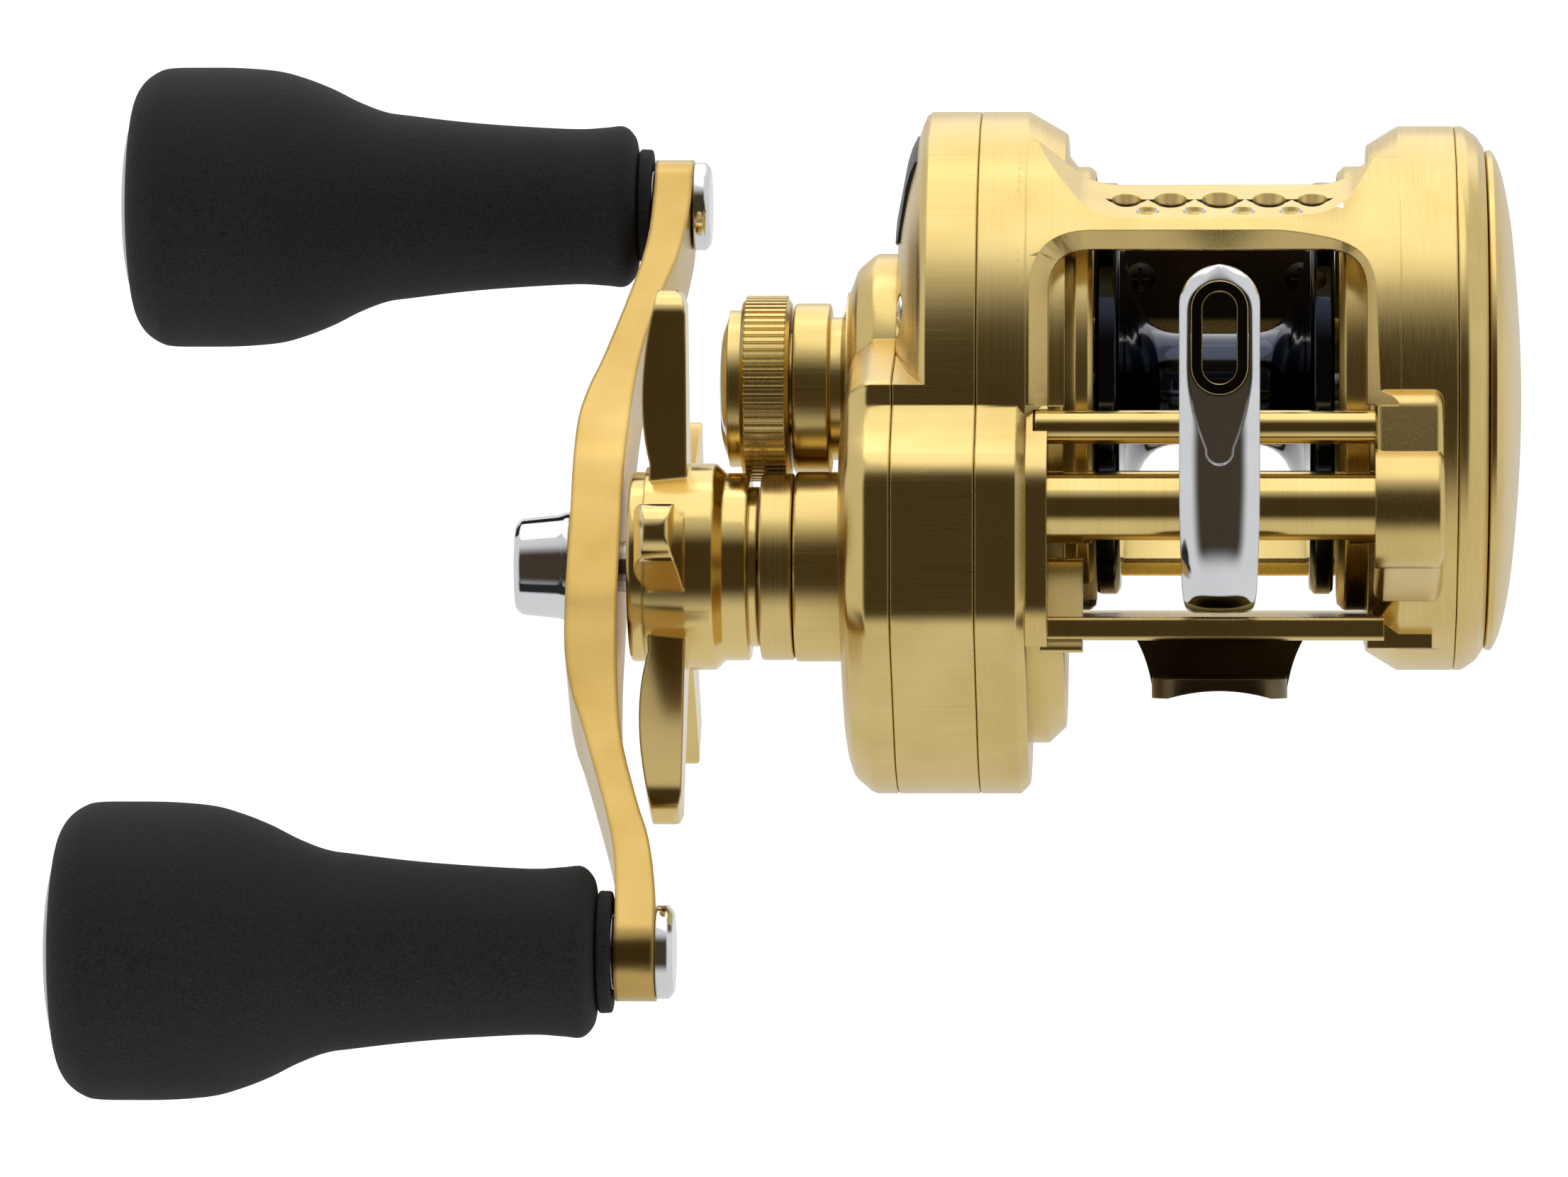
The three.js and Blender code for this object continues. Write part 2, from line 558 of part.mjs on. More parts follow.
// Arm in its own frame, +Z along the upper half: a swept side profile crossed with a tapered plan.
function buildArm() {
  const outer = [[0, -65.2], [13, -65.2], [19, -64.4], [24.5, -62.8], [37, -59.6], [45, -58.8],
    [54, -58.8]];
  const inner = [[54, -54.9], [45, -54.9], [38, -55.8], [33, -57.2], [24, -59.2], [12, -60],
    [0, -60.1]];
  const half = [...outer, ...inner].map(([w, x]) => [x, w]);
  const sweep = [...half.slice(0, 14), ...half.slice(1, 13).reverse().map(([x, w]) => [x, -w])];
  const plan = new THREE.Shape();
  plan.absarc(0, ARM_LENGTH, 4.8, 0, Math.PI);
  plan.lineTo(-4.6, 22);
  plan.lineTo(-6.6, 7);
  plan.lineTo(-6.6, -7);
  plan.lineTo(-4.6, -22);
  plan.absarc(0, -ARM_LENGTH, 4.8, Math.PI, 2 * Math.PI);
  plan.lineTo(4.6, -22);
  plan.lineTo(6.6, -7);
  plan.lineTo(6.6, 7);
  plan.lineTo(4.6, 22);
  const body = prismY(polygon(sweep), -10, 10).intersect(prismX(plan, -70, -50));
  return cut(body,
    disc(-70, -50, DRIVE_SHAFT_R + 0.1, undefined, 20),
    ...[1, -1].map((end) => disc(-70, -50, 2.1, { y: 0, z: end * ARM_LENGTH }, 24)));
}

const buildNut = () => cut(
  turned([[-70.9, 0], [-70.9, 4.1], [-70.3, 4.75], [-66.6, 5.2], [-65.3, 5.5], [-65.3, 0]], undefined, 20),
  disc(-69, -65, 2, undefined, 20),
);

function buildSpindle() {
  return turned([[-111.4, 0], [-111.4, 2.4], [-60.6, 2.4], [-60.6, 3.65], [-58.9, 3.65], [-58.9, 2],
    [-55, 2], [-55, 0]], undefined, 20);
}

function buildGrip() {
  return turned([[-60.7, 2.5], [-60.7, 7.1], [-62.1, 8.3], [-67, 8.05], [-77, 8.65], [-84.2, 9.45],
    [-87.5, 10], [-92.4, 12.25], [-98, 14.1], [-102, 14.45], [-109, 14.5],
    [-110.4, 14.1], [-111.8, 13.1], [-112.8, 11], [-113.1, 9.4], [-112.6, 9.4], [-112.6, 2.5]], undefined, 20);
}

const buildGripCap = () => (
  turned([[-114, 0], [-113.8, 6], [-113.2, 9], [-112.7, 9], [-112.7, 0]], undefined, 20)
);

// Drag star: hub collars and five arms, flat towards the plate and crowned towards the handle.
function buildStar() {
  const hub = turned([[-58.9, 2.65], [-58.9, 9.5], [-57.3, 9.5], [-57.3, 10], [-53.1, 10.36], [-50.4, 10.36],
    [-49.4, 9.4], [-46.9, 9.4], [-46.9, 8], [-46, 8], [-46, 2.65]]);
  const plan = new THREE.Shape();
  plan.moveTo(6, -4.2);
  plan.quadraticCurveTo(14, -2.9, 24.6, -2.8);
  plan.absarc(25.2, 0, 2.8, -Math.PI / 2, Math.PI / 2);
  plan.quadraticCurveTo(14, 2.9, 6, 4.2);
  const side = new THREE.Shape();
  side.moveTo(-53.1, 4);
  side.lineTo(-53.1, 26);
  side.lineTo(-54, 28);
  side.lineTo(-56, 28);
  side.quadraticCurveTo(-58.6, 18, -56.8, 11);
  side.lineTo(-57, 4);
  const arm = prismX(plan, -60, -50).intersect(prismY(side, -10, 10).rotate([-90, 0, 0]));
  const arms = [0, 1, 2, 3, 4].map((i) => arm.rotate([STAR_TILT + 72 * i, 0, 0]));
  return cut(join(hub, ...arms), disc(-60, -40, 2.65, undefined, 20));
}

// Cast control cap: knurled ring, dial ring and domed face, open towards the plate.
function buildCastCap() {
  const shell = turned([[-50.3, 0], [-50.2, 5], [-49.4, 7.3], [-49.3, 7.9], [-48, 7.9], [-48, 9.2],
    [-43.2, 9.2], [-43.2, 0]]);
  const ridges = Array.from({ length: 20 }, (_, i) => (
    box(-47.6, -43.6, 8.8, 9.4, -0.6, 0.6).rotate([18 * i, 0, 0])
  ));
  return cut(join(shell, ...ridges), disc(-47.6, -43, 6, undefined, 32));
}

// ---------------------------------------------------------------- assembly: fixed body

part('frame', buildFrame(), 'gold');
part('reel_foot', buildFoot(), 'bronze');
part('foot_screw_front', buildFootScrew(FOOT_SCREWS[0]), 'steel');
part('foot_screw_rear', buildFootScrew(FOOT_SCREWS[1]), 'steel');
part('handle_side_plate', buildSidePlate(), 'gold');
part('gear_cover', buildGearCover(), 'gold');
part('side_plate_insert', buildInsert(), 'plastic');
const insertScrew = join(disc(-33.1, -32.2, 1.9, INSERT_SCREW, 14), stud(-32.3, -31.4, 1.4, INSERT_SCREW));
part('insert_screw', insertScrew, 'chrome');
PLATE_SCREWS.forEach((at, i) => {
  part(`plate_screw_${i + 1}`, stud(-30.5, -21.5, 0.95, at), 'steel');
});
part('palm_side_plate', buildPalmPlate(), 'gold');
part('palm_cap', buildPalmCap(), 'gold');
part('brake_magnet_ring', ring(12.4, 14.2, 9, 14, SPOOL), 'steel');
part('level_wind_tube', buildTube(), 'gold');
part('guide_rod', disc(-18, 17.4, ROD.r, ROD, 16), 'gold');
part('idler_stud', join(stud(-20.95, -17, 1.2, IDLER), stud(-21.1, -20.7, 1.9, IDLER)), 'steel');
part('drive_bearing', ring(-18.7, -16.9, DRIVE_SHAFT_R + 0.05, 4.9, DRIVE, 20), 'steel');
part('pinion_bearing', ring(-31.8, -30.1, 2.55, 5, SPOOL, 20), 'steel');
part('spool_bearing_handle', ring(-41.4, -39.2, SHAFT_R + 0.05, 5, SPOOL, 20), 'steel');
part('spool_bearing_palm', ring(18.6, 20.8, SHAFT_R + 0.05, 4.5, SPOOL, 20), 'steel');
part('roller_clutch', ring(-40, -34.4, 4.1, 7.5, DRIVE, 32), 'steel');
part('boss_cap', ring(-45.8, -42.5, 5, 9.35, DRIVE, 20), 'gold');
YOKE_POSTS.forEach((at, i) => {
  const side = ['front', 'rear'][i];
  part(`yoke_post_${side}`, stud(-30.9, -17, 0.8, at), 'steel');
  part(`yoke_spring_${side}`, buildSpring(-29.9, -26.35, at), 'steel');
});

// ---------------------------------------------------------------- assembly: spool axis

const spoolAxis = new THREE.Group();
spoolAxis.position.set(0, SPOOL.y, SPOOL.z);
group.add(spoolAxis);
const meshDirection = Math.atan2(DRIVE.z - SPOOL.z, DRIVE.y - SPOOL.y);
part('spool', buildSpool(), 'navy', spoolAxis);
part('spool_shaft', buildSpoolShaft(), 'steel', spoolAxis);
part('spool_pin', rod([PIN_X, -2.8, 0], [PIN_X, 2.8, 0], 0.6, 16), 'steel', spoolAxis);
part('pinion', buildPinion(meshDirection), 'brass', spoolAxis);
part('clutch_cam', buildClutchCam(), 'plastic', spoolAxis);
part('cast_control_cap', buildCastCap(), 'gold', spoolAxis);
part('yoke', buildYoke(), 'plastic');

// ---------------------------------------------------------------- assembly: thumb bar

part('thumb_bar', buildThumbBar(), 'bronze');
THUMB_SCREWS.forEach((x, i) => {
  const head = rod([x, 20.1, 42.2], [x, 20.8, 42.2], 1.5, 14);
  const screw = join(head, rod([x, 20.7, 42.2], [x, 22.9, 42.2], 1, 16));
  part(`thumb_screw_${['left', 'right'][i]}`, screw, 'steel');
});

// ---------------------------------------------------------------- assembly: level wind

const wormAxis = new THREE.Group();
wormAxis.position.set(0, TUBE.y, TUBE.z);
group.add(wormAxis);
const idlerAxis = new THREE.Group();
idlerAxis.position.set(0, IDLER.y, IDLER.z);
group.add(idlerAxis);
const toWorm = Math.atan2(TUBE.z - IDLER.z, TUBE.y - IDLER.y);
const toothStep = (teeth) => 2 * Math.PI / teeth;
const idlerTurn = IDLER_DIRECTION + Math.PI + toothStep(IDLER_TEETH) / 2;
const idlerPhase = ((toWorm - idlerTurn) / toothStep(IDLER_TEETH)) % 1;
const wormTurn = toWorm + Math.PI + (0.5 + idlerPhase) * toothStep(WORM_TEETH);
part('worm_shaft', buildWorm(), 'steel', wormAxis);
part('worm_gear', gear(-20.6, -19.2, WORM_TEETH, MODULE_WIND, wormTurn, 1.45), 'plastic', wormAxis);
part('idler_gear', gear(-20.6, -19.2, IDLER_TEETH, MODULE_WIND, idlerTurn, 1.25), 'plastic', idlerAxis);
part('line_guide', buildLineGuide(), 'chrome');
const insertBody = prismY(oval(EYE.half - 0.1, EYE.height - 0.2), -40, -35);
part('guide_insert', cut(insertBody, prismY(oval(1.65, 8.9), -45, -30)), 'bronze');
const pawl = part('level_wind_pawl', buildPawl(), 'steel');
pawl.position.set(0, TUBE.y, 0);

// ---------------------------------------------------------------- assembly: drive axis and handle

const driveAxis = new THREE.Group();
driveAxis.position.set(0, DRIVE.y, DRIVE.z);
group.add(driveAxis);
const mainTurn = meshDirection + Math.PI + toothStep(MAIN_TEETH) / 2;
part('drive_shaft', buildDriveShaft(), 'steel', driveAxis);
const windDriveGear = gear(-20.6, -19.2, WIND_TEETH, MODULE_WIND, IDLER_DIRECTION, 2.55);
part('wind_drive_gear', windDriveGear, 'plastic', driveAxis);
part('main_gear', gear(-24, -21.2, MAIN_TEETH, MODULE_MAIN, mainTurn, 2.6), 'brass', driveAxis);
part('drag_washer_inner', ring(-24.9, -24.1, 2.8, 12), 'carbon', driveAxis);
part('drag_plate', ring(-25.8, -25, 2.6, 12), 'steel', driveAxis);
part('pressure_plate', ring(-27.1, -25.9, 2.6, 11), 'steel', driveAxis);
part('clutch_tube', ring(-44.6, -27.2, 2.6, 4), 'steel', driveAxis);
part('drag_star', buildStar(), 'gold', driveAxis);

const handle = new THREE.Group();
handle.position.x = 0.4;
handle.rotation.x = -ARM_TILT * DEG;
driveAxis.add(handle);
part('handle_arm', buildArm(), 'gold', handle);
part('handle_nut', buildNut(), 'chrome', handle);
[['upper', 1], ['lower', -1]].forEach(([side, end]) => {
  const knob = new THREE.Group();
  knob.position.z = end * ARM_LENGTH;
  handle.add(knob);
  part(`knob_spindle_${side}`, buildSpindle(), 'steel', knob);
  const spindleCap = turned([[-54.8, 0], [-54.8, 4.55], [-53.4, 4.55], [-53.1, 4.2], [-53.1, 0]],
    undefined, 20);
  part(`spindle_cap_${side}`, spindleCap, 'chrome', knob);
  part(`knob_grip_${side}`, buildGrip(), 'black', knob);
  part(`knob_cap_${side}`, buildGripCap(), 'gold', knob);
});

export default group;
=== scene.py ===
"""Looks of a round baitcasting reel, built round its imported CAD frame. Lengths here are in millimetres."""

import math

import bmesh
import bpy
from mathutils import Matrix, Vector


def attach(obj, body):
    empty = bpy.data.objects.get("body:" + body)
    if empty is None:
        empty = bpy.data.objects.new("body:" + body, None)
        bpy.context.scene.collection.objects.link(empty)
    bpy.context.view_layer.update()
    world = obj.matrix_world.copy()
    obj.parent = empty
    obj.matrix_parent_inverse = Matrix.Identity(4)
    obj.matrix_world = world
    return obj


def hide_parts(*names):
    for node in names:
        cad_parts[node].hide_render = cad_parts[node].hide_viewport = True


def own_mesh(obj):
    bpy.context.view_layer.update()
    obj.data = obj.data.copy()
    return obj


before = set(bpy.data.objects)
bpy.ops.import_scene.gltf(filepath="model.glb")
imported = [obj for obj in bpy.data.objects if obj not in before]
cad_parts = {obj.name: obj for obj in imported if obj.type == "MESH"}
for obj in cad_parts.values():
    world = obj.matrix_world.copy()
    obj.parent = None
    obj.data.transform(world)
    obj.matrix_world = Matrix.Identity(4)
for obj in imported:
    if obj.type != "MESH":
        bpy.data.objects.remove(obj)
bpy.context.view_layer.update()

MM = 0.001
SPOOL = (0.0, 30.5)  # axes along X are given as Y and Z
DRIVE = (-6.0, 12.6)
TUBE = (-27.5, 18.6)
ROD = (-27.0, 26.4)
PALM = (0.0, 29.5)
CENTRE = (0.0, 0.0)
RIM_R = 27.85
BULGE_R = 22.7
FRONT_Y = -34.0
FRONT_LOW = 7.1
FRONT_HIGH = 22.8
LOBE_R = 13.6
PALM_R = 27.3
ARM_LENGTH = 48.2
ARM_TILT = 39.7
STAR_TILT = 172
INSERT_SCREW = (-17.6, 37.6)
YOKE_POSTS = {"front": (-9.2, 33), "rear": (9.2, 29)}
FOOT_SCREWS = (-9, 9)
HOLE_Z = 49.0  # height where the holes in the hood open
HOLE_LINE = (0, 4.4, 12)  # direction of those holes
HOOD_TILT = 21.2  # degrees that the flat of the hood leans forward


# ---------------------------------------------------------------- points


def arc(centre, radius, start, end, steps):
    """Points on an arc, angles in degrees."""
    turns = [math.radians(start + (end - start) * i / steps) for i in range(steps + 1)]
    return [(centre[0] + radius * math.cos(t), centre[1] + radius * math.sin(t)) for t in turns]


def curve(a, b, c, steps):
    """Points on a quadratic curve from a to c, pulled towards b."""
    points = []
    for i in range(steps + 1):
        t = i / steps
        points.append(tuple((1 - t) ** 2 * p + 2 * t * (1 - t) * q + t * t * r for p, q, r in zip(a, b, c)))
    return points


def rounded(points, closed=True, steps=5):
    """Rounds each corner that is given with a radius, as (u, v, radius)."""
    made = []
    for i, point in enumerate(points):
        if len(point) < 3 or (not closed and i in (0, len(points) - 1)):
            made.append(tuple(point[:2]))
            continue
        here = Vector(point[:2])
        before = Vector(points[i - 1][:2]) - here
        after = Vector(points[(i + 1) % len(points)][:2]) - here
        half = max(before.angle(after) / 2, 0.05)
        reach = min(point[2] / math.tan(half), 0.49 * before.length, 0.49 * after.length)
        made += curve(here + before.normalized() * reach, here, here + after.normalized() * reach, steps)
    return made


def smooth_line(points, steps=6):
    """Catmull-Rom curve through the points."""
    made = []
    last = len(points) - 1
    for i in range(last):
        p0, p1, p2, p3 = (Vector(points[min(max(i + k, 0), last)]) for k in (-1, 0, 1, 2))
        for j in range(steps):
            t = j / steps
            made.append(tuple(0.5 * (2 * p1 + (p2 - p0) * t + (2 * p0 - 5 * p1 + 4 * p2 - p3) * t * t
                                     + (3 * p1 - p0 - 3 * p2 + p3) * t ** 3)))
    return made + [tuple(points[-1])]


# ---------------------------------------------------------------- meshes


def new_piece(name, points, faces):
    mesh = bpy.data.meshes.new(name)
    mesh.from_pydata([tuple(c * MM for c in p) for p in points], [], faces)
    shape = bmesh.new()
    shape.from_mesh(mesh)
    bmesh.ops.recalc_face_normals(shape, faces=shape.faces)
    shape.to_mesh(mesh)
    shape.free()
    piece = bpy.data.objects.new(name, mesh)
    bpy.context.scene.collection.objects.link(piece)
    return piece


def stacked(name, rings):
    """Closed skin over a stack of outlines with equal numbers of points."""
    count = len(rings[0])
    faces = [list(range(count)), list(range((len(rings) - 1) * count, len(rings) * count))]
    for i in range(len(rings) - 1):
        for j in range(count):
            k = (j + 1) % count
            faces.append([i * count + j, i * count + k, (i + 1) * count + k, (i + 1) * count + j])
    return new_piece(name, [p for ring in rings for p in ring], faces)


def turned(name, profile, axis=CENTRE, sides=128):
    """Solid of revolution about a line along X, or a closed ring if the first radius is above 0."""
    solid = profile[0][1] <= 0
    inner = profile[1:-1] if solid else profile
    points = []
    for x, r in inner:
        for j in range(sides):
            turn = 2 * math.pi * j / sides
            points.append((x, axis[0] + r * math.cos(turn), axis[1] + r * math.sin(turn)))
    faces = []
    loops = len(inner)
    for i in range(loops - 1 if solid else loops):
        for j in range(sides):
            a, b = i * sides, (i + 1) % loops * sides
            k = (j + 1) % sides
            faces.append([a + j, a + k, b + k, b + j])
    if solid:
        for x, start in ((profile[0][0], 0), (profile[-1][0], (loops - 1) * sides)):
            points.append((x, *axis))
            faces += [[len(points) - 1, start + j, start + (j + 1) % sides] for j in range(sides)]
    return new_piece(name, points, faces)


def disc(x0, x1, r, axis=CENTRE, sides=96):
    return turned("tool", [(x0, 0), (x0, r), (x1, r), (x1, 0)], axis, sides)


def ring(x0, x1, inner, outer, axis=CENTRE, sides=96):
    return turned("tool", [(x0, inner), (x0, outer), (x1, outer), (x1, inner)], axis, sides)


def prism_x(outline, x0, x1, name="tool"):
    return stacked(name, [[(x, y, z) for y, z in outline] for x in (x0, x1)])


def prism_y(outline, y0, y1, name="tool"):
    return stacked(name, [[(x, y, z) for x, z in outline] for y in (y0, y1)])


def prism_z(outline, z0, z1, name="tool"):
    return stacked(name, [[(x, y, z) for x, y in outline] for z in (z0, z1)])


def box(x0, x1, y0, y1, z0, z1):
    return prism_x([(y0, z0), (y1, z0), (y1, z1), (y0, z1)], x0, x1)


def rod(start, end, r0, r1=None, sides=48):
    """Cylinder or cone between two points."""
    start, end = Vector(start), Vector(end)
    along = (end - start).normalized()
    side = along.orthogonal().normalized()
    up = along.cross(side)
    rings = []
    for at, r in ((start, r0), (end, r0 if r1 is None else r1)):
        turns = [2 * math.pi * j / sides for j in range(sides)]
        rings.append([tuple(at + r * (side * math.cos(t) + up * math.sin(t))) for t in turns])
    return stacked("tool", rings)


def moved(piece, matrix):
    piece.data.transform(matrix)
    return piece


def turn_x(degrees):
    return Matrix.Rotation(math.radians(degrees), 4, "X")


def shift(x, y, z):
    return Matrix.Translation((x * MM, y * MM, z * MM))


def settle(piece):
    """Applies the piece's modifiers to its mesh."""
    bpy.context.view_layer.update()
    made = bpy.data.meshes.new_from_object(piece.evaluated_get(bpy.context.evaluated_depsgraph_get()))
    piece.modifiers.clear()
    old = piece.data
    piece.data = made
    bpy.data.meshes.remove(old)
    return piece


def combine(piece, operation, tools):
    for tool in tools:
        step = piece.modifiers.new("step", "BOOLEAN")
        step.operation = operation
        step.solver = "MANIFOLD"
        step.object = tool
    settle(piece)
    for tool in tools:
        old = tool.data
        bpy.data.objects.remove(tool)
        bpy.data.meshes.remove(old)
    return piece


def join(piece, *tools):
    return combine(piece, "UNION", tools)


def cut(piece, *tools):
    return combine(piece, "DIFFERENCE", tools)


def common(piece, *tools):
    return combine(piece, "INTERSECT", tools)


def eased(piece, width, angle=35, segments=2):
    """Rounds the piece's sharp edges."""
    step = piece.modifiers.new("edges", "BEVEL")
    step.width = width * MM
    step.segments = segments
    step.limit_method = "ANGLE"
    step.angle_limit = math.radians(angle)
    step.use_clamp_overlap = True
    return settle(piece)


def shown(piece, name, body, material, sharp=32):
    """Names a finished piece, hands it to its body and lets it stand for the CAD node of that name."""
    piece.name = name + "_look"
    piece.data.name = piece.name
    piece.data.materials.clear()
    piece.data.materials.append(material)
    piece.data.shade_smooth()
    piece.data.set_sharp_from_angle(angle=math.radians(sharp))
    piece.modifiers.new("normals", "WEIGHTED_NORMAL").keep_sharp = True
    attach(piece, body)
    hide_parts(name)
    return piece


# ---------------------------------------------------------------- materials


class Surface:
    """Small builder for a node-based material round one Principled shader."""

    def __init__(self, name, **values):
        self.material = bpy.data.materials.new(name)
        self.material.use_nodes = True
        self.tree = self.material.node_tree
        self.shader = self.tree.nodes["Principled BSDF"]
        self.place = self.tree.nodes.new("ShaderNodeTexCoord").outputs["Object"]
        for key, value in values.items():
            self.shader.inputs[key].default_value = value

    def link(self, source, target):
        self.tree.links.new(source, target)

    def node(self, kind, **settings):
        made = self.tree.nodes.new("ShaderNode" + kind)
        for key, value in settings.items():
            if key in made.inputs:
                made.inputs[key].default_value = value
            else:
                setattr(made, key, value)
        return made

    def scaled(self, scale, source=None):
        mapping = self.node("Mapping")
        mapping.inputs["Scale"].default_value = scale
        self.link(source or self.place, mapping.inputs["Vector"])
        return mapping.outputs["Vector"]

    def around(self, axis):
        """Coordinates for turned lines: distance along the axis and distance from it."""
        offset = self.node("Mapping")
        offset.inputs["Location"].default_value = (0, -axis[0] * MM, -axis[1] * MM)
        self.link(self.place, offset.inputs["Vector"])
        parts = self.node("SeparateXYZ")
        self.link(offset.outputs["Vector"], parts.inputs[0])
        flat = self.node("CombineXYZ")
        self.link(parts.outputs["Y"], flat.inputs["Y"])
        self.link(parts.outputs["Z"], flat.inputs["Z"])
        far = self.node("VectorMath", operation="LENGTH")
        self.link(flat.outputs[0], far.inputs[0])
        both = self.node("CombineXYZ")
        self.link(parts.outputs["X"], both.inputs["X"])
        self.link(far.outputs["Value"], both.inputs["Y"])
        return both.outputs[0]

    def noise(self, vector, scale=1.0, detail=3.0, rough=0.6):
        made = self.node("TexNoise", Scale=scale, Detail=detail, Roughness=rough)
        self.link(vector, made.inputs["Vector"])
        return made.outputs["Fac"]

    def mapped(self, source, low, high, start=0.3, end=0.7):
        made = self.node("MapRange")
        for key, value in (("From Min", start), ("From Max", end), ("To Min", low), ("To Max", high)):
            made.inputs[key].default_value = value
        self.link(source, made.inputs["Value"])
        return made.outputs["Result"]

    def colours(self, source, low, high, start=0.3, end=0.7):
        ramp = self.node("ValToRGB")
        ramp.color_ramp.elements[0].position = start
        ramp.color_ramp.elements[0].color = (*low, 1)
        ramp.color_ramp.elements[1].position = end
        ramp.color_ramp.elements[1].color = (*high, 1)
        self.link(source, ramp.inputs["Fac"])
        self.link(ramp.outputs["Color"], self.shader.inputs["Base Color"])

    def roughness(self, source, low, high, start=0.3, end=0.7):
        self.link(self.mapped(source, low, high, start, end), self.shader.inputs["Roughness"])

    def relief(self, height, depth, strength=1.0, edge=0.0):
        """Bump of a depth in millimetres, over edges softened by edge millimetres."""
        bump = self.node("Bump", Strength=strength, Distance=depth * MM)
        self.link(height, bump.inputs["Height"])
        if edge:
            soft = self.node("Bevel", samples=4)
            soft.inputs["Radius"].default_value = edge * MM
            self.link(soft.outputs["Normal"], bump.inputs["Normal"])
        self.link(bump.outputs["Normal"], self.shader.inputs["Normal"])


GOLD_LOW = (0.66, 0.48, 0.17)
GOLD_HIGH = (0.80, 0.62, 0.26)


def gold(name, lines, rough=(0.22, 0.32), depth=0.002, edge=0.18, low=GOLD_LOW, high=GOLD_HIGH):
    """Anodised gold with fine machining lines; lines gives the coordinates and their stretch."""
    made = Surface(name, Metallic=1.0)
    vector = made.around(lines["axis"]) if "axis" in lines else made.place
    fine = made.noise(made.scaled(lines["scale"], vector), detail=4.0, rough=0.7)
    broad = made.noise(made.place, scale=90.0, detail=2.0)
    blend = made.node("Math", operation="MULTIPLY_ADD")
    made.link(fine, blend.inputs[0])
    blend.inputs[1].default_value = 0.55
    half = made.node("Math", operation="MULTIPLY")
    made.link(broad, half.inputs[0])
    half.inputs[1].default_value = 0.45
    made.link(half.outputs[0], blend.inputs[2])
    made.colours(blend.outputs[0], low, high, 0.36, 0.64)
    made.roughness(fine, *rough)
    made.relief(fine, depth, edge=edge)
    return made.material


ALONG = {"scale": (60, 9000, 9000)}
AROUND_SPOOL = {"axis": SPOOL, "scale": (7000, 7000, 7000)}
AROUND_DRIVE = {"axis": DRIVE, "scale": (7000, 7000, 7000)}
AROUND_TUBE = {"axis": TUBE, "scale": (7000, 7000, 7000)}
BLAST = {"scale": (14000, 14000, 14000)}

gold_plate = gold("gold_brushed", ALONG)
gold_turned = gold("gold_turned", AROUND_SPOOL)
gold_drive = gold("gold_turned_drive", AROUND_DRIVE)
gold_tube = gold("gold_turned_tube", AROUND_TUBE, rough=(0.12, 0.18), depth=0.001)
gold_polished = gold("gold_polished", BLAST, rough=(0.11, 0.17), depth=0.0008, edge=0.35)
# Satin gold for the handle arm: the roughness and bump give the satin finish, and the darker low and high
# colours are painted shade standing in for the shade the arm gets.
gold_satin_shaded = gold("gold_satin_shaded", BLAST, rough=(0.2, 0.28), depth=0.003, edge=0.7, low=(0.46, 0.30, 0.08),
                  high=(0.63, 0.44, 0.15))


def metal(name, low, high, rough, scale, depth, edge=0.15, metallic=1.0, **values):
    made = Surface(name, Metallic=metallic, **values)
    grain = made.noise(made.scaled((scale,) * 3), detail=3.0)
    smear = made.noise(made.place, scale=140.0, detail=3.0)
    made.colours(smear, low, high)
    made.roughness(grain, *rough)
    made.relief(grain, depth, edge=edge)
    return made.material


chrome = metal("chrome", (0.72, 0.73, 0.75), (0.80, 0.81, 0.83), (0.04, 0.09), 900, 0.001, edge=0.3)
steel = metal("steel", (0.46, 0.46, 0.47), (0.62, 0.62, 0.63), (0.22, 0.34), 5000, 0.004)
bronze = metal("dark_bronze", (0.10, 0.075, 0.035), (0.17, 0.13, 0.065), (0.28, 0.4), 9000, 0.006)
smoke = metal("smoke_plate", (0.028, 0.022, 0.017), (0.05, 0.041, 0.032), (0.26, 0.36), 9000, 0.005)
brass = metal("gear_brass", (0.55, 0.38, 0.13), (0.68, 0.49, 0.19), (0.25, 0.38), 6000, 0.004)
navy = metal("spool_navy", (0.010, 0.014, 0.030), (0.022, 0.030, 0.058), (0.10, 0.16), 5000, 0.001,
             **{"Coat Weight": 0.6, "Coat Roughness": 0.05})
plastic = metal("dark_plastic", (0.012, 0.012, 0.014), (0.024, 0.024, 0.027), (0.34, 0.46), 9000, 0.01,
                metallic=0.0)
carbon = metal("carbon", (0.008, 0.008, 0.009), (0.03, 0.03, 0.032), (0.5, 0.62), 2500, 0.02, metallic=0.0)


def foam():
    """Closed-cell foam rubber: fine cells and a soft sheen."""
    made = Surface("grip_foam", Metallic=0.0)
    made.shader.inputs["Specular IOR Level"].default_value = 0.3
    cells = made.node("TexVoronoi", Scale=2600.0)
    made.link(made.place, cells.inputs["Vector"])
    speck = made.noise(made.place, scale=5200.0, detail=3.0)
    mixed = made.node("Math", operation="ADD")
    made.link(cells.outputs["Distance"], mixed.inputs[0])
    made.link(speck, mixed.inputs[1])
    made.colours(speck, (0.007, 0.007, 0.0075), (0.026, 0.026, 0.028), 0.35, 0.7)
    made.roughness(speck, 0.72, 0.9)
    made.relief(mixed.outputs[0], 0.07, strength=0.7)
    return made.material


foam_black = foam()


# ---------------------------------------------------------------- housing outlines


